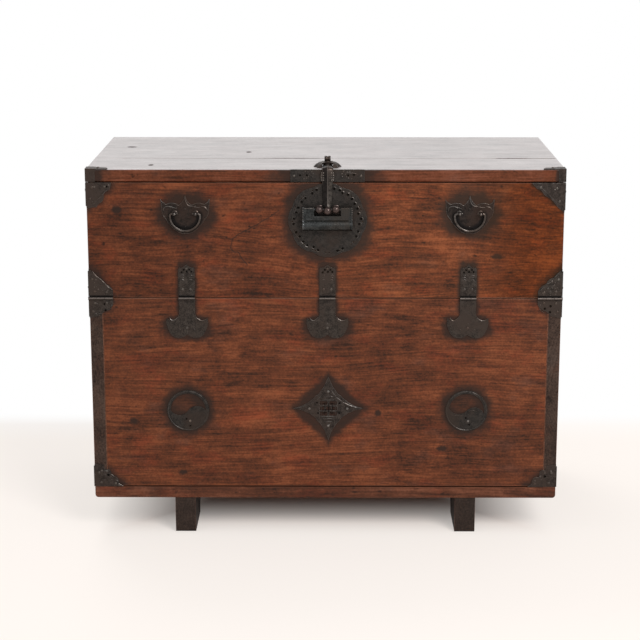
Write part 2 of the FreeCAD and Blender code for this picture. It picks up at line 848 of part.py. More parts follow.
def eye_bolt():
    """The bolt through the rosette and the lid, with an eye above and a tail bent over below."""
    x = lock_offset
    collar_level = level_top + rosette_rise
    eye_level = level_top + eye_top - eye_radius
    collar = faceted([(eye_collar_radius, 0), (eye_stem_radius, eye_collar_height)], forged_sides)
    eye = roll_along_x(x - eye_thickness / 2, x + eye_thickness / 2, rosette_y, eye_level, eye_radius)
    tail = clench(x, rosette_y, level_top, UP, lid_thickness, eye_stem_radius)
    hole = roll_along_x(x - eye_radius, x + eye_radius, rosette_y, eye_level, eye_hole_radius)
    bolt = [eye_stem(level_lid, collar_level, 0), moved(collar, x, rosette_y, collar_level), eye, tail]
    return union(bolt).cut(hole)


def staple(x):
    """A ball-headed staple through the flap, bored for the padlock's rod."""
    face = front - sheet
    pieces = [knob(x, rod_y, rod_z, ball_radius),
              stem(x, rod_y, front + flap_thickness, rod_z, staple_stem_radius),
              stem(x, face - staple_collar_height, face, rod_z, staple_collar_radius),
              clench(x, front, rod_z, FRONT, flap_thickness, staple_stem_radius)]
    return union(pieces).cut(rod_bore(x - ball_radius, x + ball_radius))


def rod_bore(x0, x1):
    return round_along_x(x0, x1, rod_y, rod_z, rod_radius + rod_play)


def hasp_section(width, edge, ridge):
    """The bar's section: flat behind, rising to a ridge along the middle of its face."""
    return [(-width / 2, 0), (width / 2, 0), (width / 2, -edge), (0, -ridge), (-width / 2, -edge)]


def section_corners(section, y, z):
    return [vec(lock_offset + across, y + out, z) for across, out in section]


def section_face(section, y, z):
    corners = section_corners(section, y, z)
    return Part.Face(Part.makePolygon(corners + corners[:1]))


def hasp():
    """The hasp: a ball end on the rod, a neck, and the bar that bends over the lid's edge."""
    section = hasp_section(hasp_width, hasp_edge, hasp_ridge)
    behind = front - sheet - hasp_gap
    bend_y = behind + hasp_bend
    bend_z = level_top + hasp_lid_gap - hasp_bend
    foot_z = rod_z + hasp_neck
    upright = section_face(section, behind, foot_z).extrude(vec(0, 0, bend_z - foot_z))
    bend = section_face(section, behind, bend_z).revolve(vec(0, bend_y, bend_z), vec(1, 0, 0), -90)
    over = section_face(section, behind, bend_z)
    over.rotate(vec(0, bend_y, bend_z), vec(1, 0, 0), -90)
    over = over.extrude(vec(0, front + hasp_reach - bend_y, 0))
    small = [(neck_share * across, neck_share * out) for across, out in section]
    neck = skinned([section_corners(small, rod_y + neck_share * hasp_ridge / 2, rod_z),
                    section_corners(section, behind, foot_z)])
    ball = knob(lock_offset, rod_y, rod_z - hasp_ball_drop, ball_radius)
    reach = ball_radius + overrun
    bore = bore_along_x(lock_offset - reach, lock_offset + reach, rod_y, rod_z, rod_radius + rod_play)
    return union([ball, neck, upright, bend, over]).cut(bore)


case_left = padlock_left + padlock_cap
case_right = padlock_right - padlock_cap - padlock_cap_gap
half_plate = padlock_plate_thickness / 2
notch_left = lock_offset - padlock_notch_width / 2
notch_right = lock_offset + padlock_notch_width / 2
rod_tip = notch_left - rod_engagement


def padlock_case():
    """The case: a spring tube below, and above it a plate whose two ears carry the rod."""
    tube = tube_along_x(case_left, case_right, rod_y, tube_z, padlock_tube_radius)
    top = rod_z + padlock_top_rise
    ears = block(case_left, case_right, rod_y - half_plate, rod_y + half_plate, tube_z, top)
    notch = block(notch_left, notch_right, rod_y - half_plate - overrun, rod_y + half_plate + overrun,
                  rod_z - padlock_notch_drop, top + overrun)
    mouth = case_right + overrun
    bore = tube_along_x(case_left - overrun, mouth, rod_y, tube_z, padlock_bore_radius)
    rod_way = bore_along_x(rod_tip - rod_end_gap, mouth, rod_y, rod_z, rod_radius + rod_play)
    return union([tube, ears]).cut(Part.makeCompound([notch, bore, rod_way]))


def padlock_end(x0, x1):
    """An end cap of the padlock, a little larger all round than the case."""
    rim = padlock_cap_rim
    half = half_plate + rim
    tube = tube_along_x(x0, x1, rod_y, tube_z, padlock_tube_radius + rim)
    ear = block(x0, x1, rod_y - half, rod_y + half, tube_z, rod_z + padlock_top_rise + rim)
    return union([tube, ear])


def padlock_key_plate():
    """The left cap, with a keyhole into the spring tube."""
    half_width_of_hole = key_hole_width / 2
    half_height_of_hole = key_hole_height / 2
    hole = block(padlock_left - overrun, case_left + overrun,
                 rod_y - half_width_of_hole, rod_y + half_width_of_hole,
                 tube_z - half_height_of_hole, tube_z + half_height_of_hole)
    return padlock_end(padlock_left, case_left).cut(hole)


def padlock_bolt():
    """The bolt: the right cap with the rod, and the tongue that carries the springs in the tube."""
    inner = padlock_right - padlock_cap
    cap = padlock_end(inner, padlock_right)
    rod = round_along_x(rod_tip, inner, rod_y, rod_z, rod_radius)
    tongue = block(inner - tongue_length, inner,
                   rod_y - tongue_thickness / 2, rod_y + tongue_thickness / 2,
                   tube_z - tongue_width / 2, tube_z + tongue_width / 2)
    return union([cap, rod, tongue])


def padlock_springs():
    """Two leaf springs that spread from the tongue's tip towards the cap."""
    tip = padlock_right - padlock_cap - tongue_length
    root = tongue_thickness / 2
    leaves = []
    for side in (-1, 1):
        near = rod_y + side * root
        far = near + side * spring_spread
        corners = [vec(tip, near, 0), vec(tip + spring_length, far, 0),
                   vec(tip + spring_length, far + side * spring_thickness, 0),
                   vec(tip, near + side * spring_thickness, 0)]
        leaf = Part.Face(Part.makePolygon(corners + corners[:1])).extrude(vec(0, 0, tongue_width))
        leaves.append(moved(leaf, 0, 0, tube_z - tongue_width / 2))
    return Part.makeCompound(leaves)


# Bails


def bail_post(x):
    """A post through the flap: an eye for the bail, then a ball head, and a bent tail behind."""
    z = bail_z
    head_y = bail_y - post_head_gap
    pieces = [stem(x, head_y, front + flap_thickness, z, post_stem_radius),
              knob(x, bail_y, z, post_eye_radius),
              knob(x, head_y, z, post_head_radius),
              clench(x, front, z, FRONT, flap_thickness, post_stem_radius)]
    bore = round_along_x(x - post_eye_radius, x + post_eye_radius, bail_y, z, bail_rod_radius + bail_play)
    return union(pieces).cut(bore)


def bail_section(x, z, heading):
    """The bail's section at a place in its plane, square to a heading measured from +X towards +Z."""
    corners = []
    for k in range(bail_sides):
        angle = 2 * math.pi * (k + 0.5) / bail_sides
        across = bail_rod_radius * math.cos(angle)
        corners.append(vec(x - across * math.sin(heading), bail_rod_radius * math.sin(angle),
                           z + across * math.cos(heading)))
    return corners


def bail(place):
    """A forged rod bent to a half ring, its ends curled inwards through the posts' eyes."""
    reach = bail_width / 2 - bail_rod_radius
    curl = bail_curl_radius
    tip = bail_post_spacing / 2 - post_eye_radius - bail_end_margin
    half = [(tip, 0, 0)]
    for k in range(bail_curl_steps):
        angle = math.pi / 2 * (1 - k / bail_curl_steps)
        x = reach - curl + curl * math.cos(angle)
        half.append((x, curl * math.sin(angle) - curl, angle - math.pi / 2))
    for k in range(bail_ring_steps // 2 + 1):
        angle = -math.pi * k / bail_ring_steps
        half.append((reach * math.cos(angle), reach * math.sin(angle) - curl, angle - math.pi / 2))
    other = [(-x, z, -heading - 2 * math.pi) for x, z, heading in reversed(half[:-1])]
    return moved(skinned([bail_section(*station) for station in half + other]), place, bail_y, bail_z)


# All pieces


def pair(name, make):
    return {"left_" + name: make(-1), "right_" + name: make(1)}


def parts_of_the_chest():
    upper_back, lower_back = back_boards()
    parts = {
        "lid_front_plank": lid_front_plank(),
        "lid_rear_plank": lid_rear_plank(),
        "back_upper_board": upper_back,
        "back_lower_board": lower_back,
        "bottom_board": bottom_board(),
        "lower_front_board": lower_front_board(),
        "flap_board": flap_board(),
        "left_lid_corner_mount": lid_corner_mount(-1, lid_corner_left_front),
        "right_lid_corner_mount": lid_corner_mount(1, lid_corner_right_front),
        "lid_edge_plate": lid_edge_plate(),
        "lock_plate": lock_plate(),
        "diamond_mount": diamond_mount(),
        "left_taegeuk_mount": taegeuk_mount(taegeuk_places[0], 0),
        "right_taegeuk_mount": taegeuk_mount(taegeuk_places[1], taegeuk_turn),
        "rosette": rosette(),
        "lid_eye_bolt": eye_bolt(),
        "lock_staples": Part.makeCompound([staple(x) for x in staple_places]),
        "hasp": hasp(),
        "padlock_case": padlock_case(),
        "padlock_key_plate": padlock_key_plate(),
        "padlock_bolt": padlock_bolt(),
        "padlock_springs": padlock_springs(),
        "carcass_nails": Part.makeCompound([nail(spot) for spot in carcass_spots]),
        "flap_nails": Part.makeCompound([nail(spot) for spot in flap_spots]),
        "strap_hinge_pins": Part.makeCompound([hinge_pin(x - strap_width / 2, x + strap_width / 2)
                                               for x in strap_places]),
        "corner_hinge_pins": Part.makeCompound([hinge_pin(*corner_knuckle_span(side)) for side in (-1, 1)]),
    }
    parts.update(pair("side", side_board))
    parts.update(pair("runner", runner))
    parts.update(pair("corner_hinge_upper", corner_hinge_upper_leaf))
    parts.update(pair("corner_hinge_lower", corner_hinge_lower_leaf))
    parts.update(pair("flap_corner_mount", flap_corner_mount))
    parts.update(pair("bottom_corner_mount", bottom_corner_mount))
    for name, place in zip(["left", "middle", "right"], strap_places):
        parts[name + "_strap_upper"] = strap_upper(place)
        parts[name + "_strap_lower"] = strap_lower(place)
    for name, place in zip(["left", "right"], bail_places):
        parts[name + "_bail"] = bail(place)
        parts[name + "_bail_plate"] = bail_plate(place)
        parts[name + "_bail_posts"] = Part.makeCompound([bail_post(x) for x in post_places(place)])
    return parts


os.makedirs("parts", exist_ok=True)
for name, shape in sorted(parts_of_the_chest().items()):
    if not shape.isValid():
        print("not valid:", name)
    shape.exportStep("parts/" + name + ".step")
    box = shape.BoundBox
    print(f"{name}: {len(shape.Solids)} solid(s), x {box.XMin:.1f} {box.XMax:.1f}, "
          f"y {box.YMin:.1f} {box.YMax:.1f}, z {box.ZMin:.1f} {box.ZMax:.1f}")
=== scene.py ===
# %% [markdown]
# # A Korean bandaji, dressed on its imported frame
# A bandaji is a blanket chest whose upper front drops forward as a flap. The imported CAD
# model gives every board, plate and pivot its place, and it isn't changed here. This
# lesson gives those pieces their wood and their iron, and models by hand what a plain
# solid can't show: forged balls, bent rods, nail heads and the chased lines on the mounts.
# Everything is in metres, +Z up, with the front of the chest facing -Y.

# %% Load the frame
import json
import math
import random

import bpy
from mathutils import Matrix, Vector

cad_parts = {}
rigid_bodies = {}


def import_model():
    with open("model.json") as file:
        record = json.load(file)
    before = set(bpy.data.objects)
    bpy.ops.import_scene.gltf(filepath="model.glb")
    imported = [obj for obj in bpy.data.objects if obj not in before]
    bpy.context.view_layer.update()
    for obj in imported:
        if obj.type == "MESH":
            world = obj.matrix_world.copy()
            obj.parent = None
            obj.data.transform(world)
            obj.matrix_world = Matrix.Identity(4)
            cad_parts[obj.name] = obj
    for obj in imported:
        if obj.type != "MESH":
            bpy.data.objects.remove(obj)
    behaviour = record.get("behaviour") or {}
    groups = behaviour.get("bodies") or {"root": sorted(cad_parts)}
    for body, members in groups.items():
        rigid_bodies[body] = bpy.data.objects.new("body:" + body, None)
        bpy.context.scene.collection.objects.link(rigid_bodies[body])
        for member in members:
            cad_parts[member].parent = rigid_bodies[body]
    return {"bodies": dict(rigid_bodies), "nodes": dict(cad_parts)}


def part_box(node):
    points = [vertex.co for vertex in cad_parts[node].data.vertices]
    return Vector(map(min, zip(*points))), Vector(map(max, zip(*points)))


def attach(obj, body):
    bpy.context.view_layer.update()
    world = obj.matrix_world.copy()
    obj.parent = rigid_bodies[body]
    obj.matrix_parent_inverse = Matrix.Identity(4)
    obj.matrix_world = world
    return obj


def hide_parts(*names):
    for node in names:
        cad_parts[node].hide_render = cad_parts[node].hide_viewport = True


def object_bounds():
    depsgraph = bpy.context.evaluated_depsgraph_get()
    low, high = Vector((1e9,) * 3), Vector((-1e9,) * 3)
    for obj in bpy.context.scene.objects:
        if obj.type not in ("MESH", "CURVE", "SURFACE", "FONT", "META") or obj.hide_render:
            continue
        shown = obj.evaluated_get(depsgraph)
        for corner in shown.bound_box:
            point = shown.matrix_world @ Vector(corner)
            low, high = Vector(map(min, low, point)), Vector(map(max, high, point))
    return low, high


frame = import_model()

mm = 0.001
nodes = frame["nodes"]
kept = set(nodes.values()) | set(frame["bodies"].values())
for leftover in [item for item in bpy.data.objects if item not in kept]:
    bpy.data.objects.remove(leftover)
cad_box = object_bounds()
print(len(nodes), "nodes; the chest is", [round(v, 3) for v in cad_box[1] - cad_box[0]], "m")

# %% [markdown]
# ## The studio
# The chest was photographed on a pale floor before a white backdrop. One big floor does
# for both: near the chest it is a warm, matt floor that keeps the shadow, painted darker and
# warmer still as shade right under and beside the chest, and further off it fades to white
# for the camera and for reflections. A wall would do the same, but it would stand in the way
# when the chest is looked at from behind.

# %% Floor
floor_size = 60.0
floor_warm = (1.0, 0.905, 0.84, 1)
floor_light = (0.985, 0.945, 0.905, 1)
# Painted shade: a darker, warmer floor colour under and beside the chest.
painted_floor_shade = (0.80, 0.56, 0.46, 1)
own_light = 0.65
white = (1, 1, 1, 1)
# Where the floor turns white, behind the chest and all round it.
white_behind = (0.36, 0.62)
white_round = (2.2, 3.4)
# Where its painted shade and its own light begin and end, measured outwards from the chest's outline.
shade_edge = (-0.25, 0.0)
light_edge = (-0.235, 0.02)
bpy.ops.object.select_all(action="DESELECT")
bpy.ops.mesh.primitive_plane_add(size=floor_size, location=(0, 0, 0))
floor = bpy.context.object
floor.name = "studio_floor"
print("floor", floor_size, "m wide")

# %% [markdown]
# ## Short words for shader nodes
# A shader is a tree of nodes. These helpers add one node each and feed its sockets either
# with a number or with another node's output, so that the trees below read like sums.

# %% Node helpers


def feed(tree, socket, value):
    if isinstance(value, bpy.types.NodeSocket):
        tree.links.new(value, socket)
    else:
        socket.default_value = value


def node(tree, kind, inputs=None, **settings):
    made = tree.nodes.new("ShaderNode" + kind)
    for name, value in settings.items():
        setattr(made, name, value)
    for key, value in (inputs or {}).items():
        feed(tree, made.inputs[key], value)
    return made


def maths(tree, operation, *values, clamp=False):
    made = node(tree, "Math", dict(enumerate(values)), operation=operation, use_clamp=clamp)
    return made.outputs[0]


def vectors(tree, operation, *values):
    return node(tree, "VectorMath", dict(enumerate(values)), operation=operation).outputs[0]


def mixed(tree, factor, first, second):
    """A colour between two colours."""
    made = node(tree, "Mix", {0: factor, 6: first, 7: second}, data_type="RGBA")
    return made.outputs[2]


def step(tree, value, low, high):
    """0 up to low, 1 from high on, and a smooth step between."""
    sockets = {"Value": value, "From Min": low, "From Max": high}
    return node(tree, "MapRange", sockets, interpolation_type="SMOOTHSTEP").outputs["Result"]


def fading(tree, value, full, gone):
    """1 up to full, 0 from gone on, and a smooth step between."""
    return maths(tree, "SUBTRACT", 1.0, step(tree, value, full, gone))


def diagonal(tree, one, other):
    """The distance that two distances at a right angle make."""
    squares = [maths(tree, "POWER", leg, 2.0) for leg in (one, other)]
    return maths(tree, "SQRT", maths(tree, "ADD", *squares))


def axis(tree, place, name):
    """One coordinate of a place."""
    return node(tree, "SeparateXYZ", {0: place}).outputs[name]


def seen_rays(tree):
    """1 for the rays of the camera, of reflections and of glass, and 0 for the light's."""
    ray = tree.nodes.new("ShaderNodeLightPath").outputs
    seen = maths(tree, "MAXIMUM", ray["Is Camera Ray"], ray["Is Glossy Ray"])
    return maths(tree, "MAXIMUM", seen, ray["Is Transmission Ray"])


def noise(tree, vector, scale, detail=2.0, roughness=0.5):
    sockets = {"Vector": vector, "Scale": scale, "Detail": detail, "Roughness": roughness}
    return node(tree, "TexNoise", sockets).outputs["Fac"]


def new_group(name, inputs, outputs):
    """A node group with named sockets: returns it, its inputs and its output sockets."""
    group = bpy.data.node_groups.new(name, "ShaderNodeTree")
    for label, kind, value in inputs:
        socket = group.interface.new_socket(label, in_out="INPUT", socket_type="NodeSocket" + kind)
        socket.default_value = value
    for label, kind in outputs:
        group.interface.new_socket(label, in_out="OUTPUT", socket_type="NodeSocket" + kind)
    return group, group.nodes.new("NodeGroupInput").outputs, group.nodes.new("NodeGroupOutput").inputs


def use(tree, group, **inputs):
    """Place a group in a material, and return its outputs."""
    made = tree.nodes.new("ShaderNodeGroup")
    made.node_tree = group
    for label, value in inputs.items():
        feed(tree, made.inputs[label.replace("_", " ")], value)
    return made.outputs


def new_material(name):
    """A material, its tree, its Principled shader and its object coordinates."""
    material = bpy.data.materials.new(name)
    material.use_nodes = True
    tree = material.node_tree
    place = tree.nodes.new("ShaderNodeTexCoord").outputs["Object"]
    return material, tree, tree.nodes["Principled BSDF"], place


print("node helpers ready")

# %% [markdown]
# ## Floor, sky, lamps and camera
# Close to the chest the floor is shaded, its colour painted darker and warmer as shade, and
# its own light grows with the distance. The world lights the chest from all round at a plain
# level, a large lamp in front on the right gives the iron its highlights, and a weaker one
# behind keeps the back readable.
# The camera stands where the photographer stood: a long lens, looking down 13.5 degrees.

# %% Floor finish
floor_finish, tree, shader, place = new_material("studio floor")
split = node(tree, "SeparateXYZ", {0: place}).outputs
behind = step(tree, split["Y"], *white_behind)
far = maths(tree, "MAXIMUM", behind, step(tree, diagonal(tree, split["X"], split["Y"]), *white_round))
shader.inputs["Roughness"].default_value = 0.8
shader.inputs["Specular IOR Level"].default_value = 0.1
glow = node(tree, "Emission", {"Color": mixed(tree, far, floor_light, white), "Strength": 1.0})
beside = maths(tree, "SUBTRACT", maths(tree, "ABSOLUTE", split["X"]), cad_box[1].x)
before = maths(tree, "SUBTRACT", maths(tree, "ABSOLUTE", split["Y"]), cad_box[1].y)
near = maths(tree, "MAXIMUM", beside, before)
# Near the chest the floor's colour turns to the painted shade colour.
feed(tree, shader.inputs["Base Color"],
     mixed(tree, step(tree, near, *shade_edge), painted_floor_shade, floor_warm))
clear = maths(tree, "MULTIPLY", step(tree, near, *light_edge), own_light)
cover = maths(tree, "MULTIPLY", maths(tree, "MAXIMUM", far, clear), seen_rays(tree))
both = node(tree, "MixShader", {0: cover, 1: shader.outputs[0], 2: glow.outputs[0]}).outputs[0]
tree.links.new(both, tree.nodes["Material Output"].inputs["Surface"])
floor.data.materials.append(floor_finish)
print("floor finish:", len(tree.nodes), "nodes")

# %% Sky
sky_level = 0.62
world = bpy.data.worlds.new("studio")
bpy.context.scene.world = world
world.use_nodes = True
tree = world.node_tree
strength = maths(tree, "ADD", sky_level, maths(tree, "MULTIPLY", seen_rays(tree), 1 - sky_level))
feed(tree, tree.nodes["Background"].inputs["Color"], white)
feed(tree, tree.nodes["Background"].inputs["Strength"], strength)
print("sky level", sky_level)

# %% Lamps


def lamp(name, place, target, size, power):
    data = bpy.data.lights.new(name, "AREA")
    data.shape = "DISK"
    data.size = size
    data.energy = power
    made = bpy.data.objects.new(name, data)
    bpy.context.scene.collection.objects.link(made)
    made.location = place
    made.rotation_euler = (Vector(target) - Vector(place)).to_track_quat("-Z", "Y").to_euler()
    print(name, power, "W")


chest_middle = (0, 0, 0.4)
lamp("front softbox", (1.7, -3.1, 2.9), chest_middle, 1.8, 110)
lamp("rear softbox", (-1.2, 2.6, 4.4), chest_middle, 2.2, 60)

# %% Camera
camera_pitch = math.radians(13.526)
camera_turn = math.radians(0.294)
camera = bpy.data.objects.new("portrait camera", bpy.data.cameras.new("portrait camera"))
bpy.context.scene.collection.objects.link(camera)
camera.location = (0.0068, -3.5499, 1.2361)
camera.rotation_euler = (math.pi / 2 - camera_pitch, 0, camera_turn)
camera.data.lens = 99.74
camera.data.clip_start = 0.1
camera.data.clip_end = 100
bpy.context.scene.camera = camera
bpy.context.scene.view_settings.view_transform = "Standard"
print("lens", camera.data.lens, "mm")

# %% [markdown]
# ## Old wood grain
# A board is a slice of a tree, so the grain is made as a tree grows: rings round a heart
# that lies along X, somewhere behind the board, bent by slow noise. The same rings give
# wavy lines on the face and arcs on the end grain. Long thin noises along X add fibres and
# streaks, and slow ones the blotches of age, some of them ruddy and some dull. The group
# works in metres and gives out a colour, a height for a bump, a roughness and its tone.

# %% Wood group
inputs = [("Vector", "Vector", (0, 0, 0)), ("Heart", "Vector", (0, 0, 0)),
          ("Dark", "Color", white), ("Middle", "Color", white), ("Light", "Color", white),
          ("Warm", "Color", white), ("Dull", "Color", white),
          ("Ring", "Float", 0.006), ("Wave", "Float", 0.05), ("Age", "Float", 1.0)]
outputs = [("Color", "Color"), ("Height", "Float"), ("Roughness", "Float"), ("Tone", "Float")]
wood_grain, given, out = new_group("Old wood grain", inputs, outputs)
tree = wood_grain
from_heart = vectors(tree, "SUBTRACT", given["Vector"], given["Heart"])
slow = node(tree, "TexNoise", {"Vector": vectors(tree, "MULTIPLY", from_heart, (1.1, 2.4, 2.4)),
                               "Scale": 1.7, "Detail": 2.0}).outputs["Color"]
slow = vectors(tree, "SUBTRACT", slow, (0.5, 0.5, 0.5))
slow = node(tree, "VectorMath", {0: slow, "Scale": given["Wave"]}, operation="SCALE").outputs[0]
quick = node(tree, "TexNoise", {"Vector": vectors(tree, "MULTIPLY", from_heart, (7.0, 30.0, 30.0)),
                                "Scale": 1.0, "Detail": 2.0}).outputs["Color"]
quick = vectors(tree, "SUBTRACT", quick, (0.5, 0.5, 0.5))
quick = vectors(tree, "MULTIPLY", quick, (0, 0.005, 0.005))
bent = vectors(tree, "ADD", vectors(tree, "ADD", from_heart, slow), quick)
axes = node(tree, "SeparateXYZ", {0: bent}).outputs
out_of_heart = diagonal(tree, axes["Y"], axes["Z"])


def fibrous(place, along, across, detail=2.0, roughness=0.5, scale=1.0):
    """Noise with one scale along the fibres and another across them."""
    stretched = vectors(tree, "MULTIPLY", place, (along, across, across))
    return noise(tree, stretched, scale, detail, roughness)


uneven = fibrous(bent, 1.5, 22.0)
growth = maths(tree, "ADD", maths(tree, "DIVIDE", out_of_heart, given["Ring"]),
               maths(tree, "MULTIPLY", uneven, 2.6))
wave_up = maths(tree, "FRACT", growth)
late_wood = maths(tree, "MULTIPLY", maths(tree, "POWER", wave_up, 2.0),
                  fading(tree, wave_up, 0.88, 1.0))
fibre = fibrous(bent, 9.0, 300.0, 3.0, 0.6)
hair = fibrous(bent, 16.0, 800.0)
streak = fibrous(bent, 5.0, 90.0, 3.0, 0.55)
patch = fibrous(from_heart, 17.0, 24.0, 5.0, 0.68)
field = fibrous(from_heart, 3.2, 5.5)
grit = fibrous(from_heart, 260.0, 300.0)
deep = fibrous(from_heart, 62.0, 90.0)
ruddy = fibrous(from_heart, 13.0, 26.0, 4.0, 0.65)
greyed = fibrous(from_heart, 8.0, 15.0, 4.0, 0.65, 1.3)
print("the noises make", len(wood_grain.nodes), "nodes")

# %% Wood colour
tone = 0.5
for layer, weight in ((fibre, 1.25), (streak, 0.40), (patch, 1.35), (field, 0.8), (grit, 0.7)):
    tone = maths(tree, "MULTIPLY_ADD", maths(tree, "SUBTRACT", layer, 0.5), weight, tone)
rings_seen = maths(tree, "MULTIPLY", late_wood, step(tree, field, 0.25, 0.6))
tone = maths(tree, "MULTIPLY_ADD", rings_seen, -0.20, tone)
spots = maths(tree, "MULTIPLY", step(tree, deep, 0.66, 0.78), given["Age"])
tone = maths(tree, "MULTIPLY_ADD", spots, -0.4, tone, clamp=True)
lower_part = maths(tree, "MULTIPLY", tone, 2.0, clamp=True)
upper_part = maths(tree, "MULTIPLY_ADD", tone, 2.0, -1.0, clamp=True)
colour = mixed(tree, upper_part, mixed(tree, lower_part, given["Dark"], given["Middle"]), given["Light"])
for blotch, low, high, tint in ((ruddy, 0.50, 0.66, "Warm"), (greyed, 0.52, 0.72, "Dull")):
    colour = mixed(tree, maths(tree, "MULTIPLY", step(tree, blotch, low, high), 0.6), colour,
                   mixed(tree, tone, given["Dark"], given[tint]))
feed(tree, out["Color"], colour)
fuzz = maths(tree, "MULTIPLY_ADD", hair, 0.5, step(tree, fibre, 0.30, 0.48))
feed(tree, out["Height"], maths(tree, "MULTIPLY_ADD", late_wood, -0.35, fuzz))
feed(tree, out["Roughness"], maths(tree, "MULTIPLY_ADD", fibre, -0.25, 0.66))
feed(tree, out["Tone"], tone)
print(wood_grain.name, len(wood_grain.nodes), "nodes")

# %% [markdown]
# ## Iron stain
# Iron stains tannin-rich wood nearly black, so every mount on this chest stands in a soft
# dark halo. The group measures how far a point lies outside a shape round a mount: power 1
# makes the shape a diamond or a corner's triangle, 2 an ellipse, and more a rounded box.
# Small round ones, with a short reach, are knots.

# %% Stain group
inputs = [("Vector", "Vector", (0, 0, 0)), ("Centre", "Vector", (0, 0, 0)),
          ("Half", "Vector", (1, 1, 1)), ("Power", "Float", 2.0), ("Size", "Float", 0.03),
          ("Reach", "Float", 0.02),
          ("Ragged", "Float", 0.5)]
iron_stain, given, out = new_group("Iron stain", inputs, [("Mask", "Float")])
tree = iron_stain
off = vectors(tree, "ABSOLUTE", vectors(tree, "SUBTRACT", given["Vector"], given["Centre"]))
axes = node(tree, "SeparateXYZ", {0: vectors(tree, "DIVIDE", off, given["Half"])}).outputs
total = 0.0
for name in "XZY":
    total = maths(tree, "ADD", total, maths(tree, "POWER", axes[name], given["Power"]))
outside = maths(tree, "POWER", total, maths(tree, "DIVIDE", 1.0, given["Power"]))
outside = maths(tree, "MULTIPLY", maths(tree, "SUBTRACT", outside, 1.0), given["Size"])
outside = maths(tree, "ADD", maths(tree, "DIVIDE", outside, given["Reach"]), given["Ragged"])
feed(tree, out["Mask"], fading(tree, outside, 0.0, 1.0))
print(iron_stain.name, len(iron_stain.nodes), "nodes")

# %% Stains round the mounts
stain_reach = 0.026
knot_reach = 0.006


def stain_spot(node_name, power, corner=0, level=0, reach=stain_reach):
    """Where a mount stains the wood. A corner mount is measured from the corner it stands on."""
    low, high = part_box(node_name)
    centre = (low + high) / 2
    half = (high - low) / 2
    if corner:
        centre.x = high.x if corner > 0 else low.x
        half.x = high.x - low.x
    if level:
        centre.z = high.z if level > 0 else low.z
        half.z = high.z - low.z
    half.y = 1.0
    return centre, half, power, min(half.x, half.z), reach


def spot(x, z, across, tall, power, size, reach):
    """A stain on the front at a place of its own, in metres."""
    return Vector((x, cad_box[0].y, z)), Vector((across, 1.0, tall)), power, size, reach


def knot(x, z, across, tall):
    return spot(x, z, across, tall, 2.0, tall, knot_reach)


def stained(tree, place, ragged, spots):
    """The darkest of several stains at a point."""
    mask = 0.0
    for centre, half, power, size, reach in spots:
        one = use(tree, iron_stain, Vector=place, Centre=centre, Half=half, Power=power,
                  Size=size, Reach=reach, Ragged=ragged)
        mask = maths(tree, "MAXIMUM", mask, one["Mask"])
    return mask


flap_stains = [stain_spot("lock_plate", 2.6), stain_spot("left_bail_plate", 2.0),
               stain_spot("right_bail_plate", 2.0),
               stain_spot("left_corner_hinge_upper", 1.2, -1, -1),
               stain_spot("right_corner_hinge_upper", 1.2, 1, -1),
               stain_spot("left_flap_corner_mount", 1.2, -1, 1),
               stain_spot("right_flap_corner_mount", 1.0, 1, 1, 0.012)]
front_stains = [stain_spot("diamond_mount", 0.95, reach=0.024),
                stain_spot("left_taegeuk_mount", 2.0), stain_spot("right_taegeuk_mount", 2.0),
                stain_spot("left_corner_hinge_lower", 1.4, -1, 1),
                stain_spot("right_corner_hinge_lower", 1.4, 1, 1),
                stain_spot("left_bottom_corner_mount", 1.2, -1, -1),
                stain_spot("right_bottom_corner_mount", 1.2, 1, -1)]
# A strap's lower leaf is stained round its bell and, more narrowly, round its shaft.
bell_top = 0.442
bell_reach = 0.013
shaft_drop, shaft_half = 0.018, 0.03
shaft_size, shaft_reach = 0.012, 0.009
for side in ("left", "middle", "right"):
    flap_stains.append(stain_spot(side + "_strap_upper", 5.0, reach=0.010))
    low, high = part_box(side + "_strap_lower")
    middle_x, bell_half = (low.x + high.x) / 2, (bell_top - low.z) / 2
    front_stains.append((Vector((middle_x, low.y, (bell_top + low.z) / 2)),
                         Vector(((high.x - low.x) / 2, 1.0, bell_half)), 2.6, bell_half, bell_reach))
    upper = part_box(side + "_strap_upper")
    front_stains.append((Vector((middle_x, low.y, high.z - shaft_drop)),
                         Vector(((upper[1].x - upper[0].x) / 2, 1.0, shaft_half)), 5.0,
                         shaft_size, shaft_reach))
lid_stains = [stain_spot("lid_edge_plate", 6.0, reach=0.012),
              spot(-0.452, 0.716, 0.020, 0.02, 4.0, 0.012, 0.010),
              spot(0.452, 0.716, 0.012, 0.02, 4.0, 0.010, 0.006)]
print(len(flap_stains) + len(front_stains) + len(lid_stains), "stains")

# %% [markdown]
# ## Hairline cracks
# The flap has one thin drying crack that wanders down to the left of the lock, and the
# lid's joint has opened here and there. A crack is a chain of straight segments. The group
# gives the distance to one segment, and noise on the coordinates makes the line ragged.

# %% Crack group
inputs = [("Vector", "Vector", (0, 0, 0)), ("Start", "Vector", (0, 0, 0)),
          ("Run", "Vector", (0, 0, 1)), ("Width", "Float", 0.001)]
hairline, given, out = new_group("Hairline crack", inputs, [("Mask", "Float")])
tree = hairline
offset = vectors(tree, "SUBTRACT", given["Vector"], given["Start"])
along, length = [node(tree, "VectorMath", {0: one, 1: given["Run"]},
                      operation="DOT_PRODUCT").outputs["Value"] for one in (offset, given["Run"])]
share = maths(tree, "DIVIDE", along, length, clamp=True)
nearest = node(tree, "VectorMath", {0: given["Run"], "Scale": share}, operation="SCALE").outputs[0]
gap = node(tree, "VectorMath", {0: offset, 1: nearest}, operation="DISTANCE").outputs["Value"]
feed(tree, out["Mask"], fading(tree, gap, 0.0, given["Width"]))


def cracked(tree, place, corners, width):
    mask = 0.0
    for start, end in zip(corners, corners[1:]):
        one = use(tree, hairline, Vector=place, Start=start, Run=end - start, Width=width)["Mask"]
        mask = maths(tree, "MAXIMUM", mask, one)
    return mask


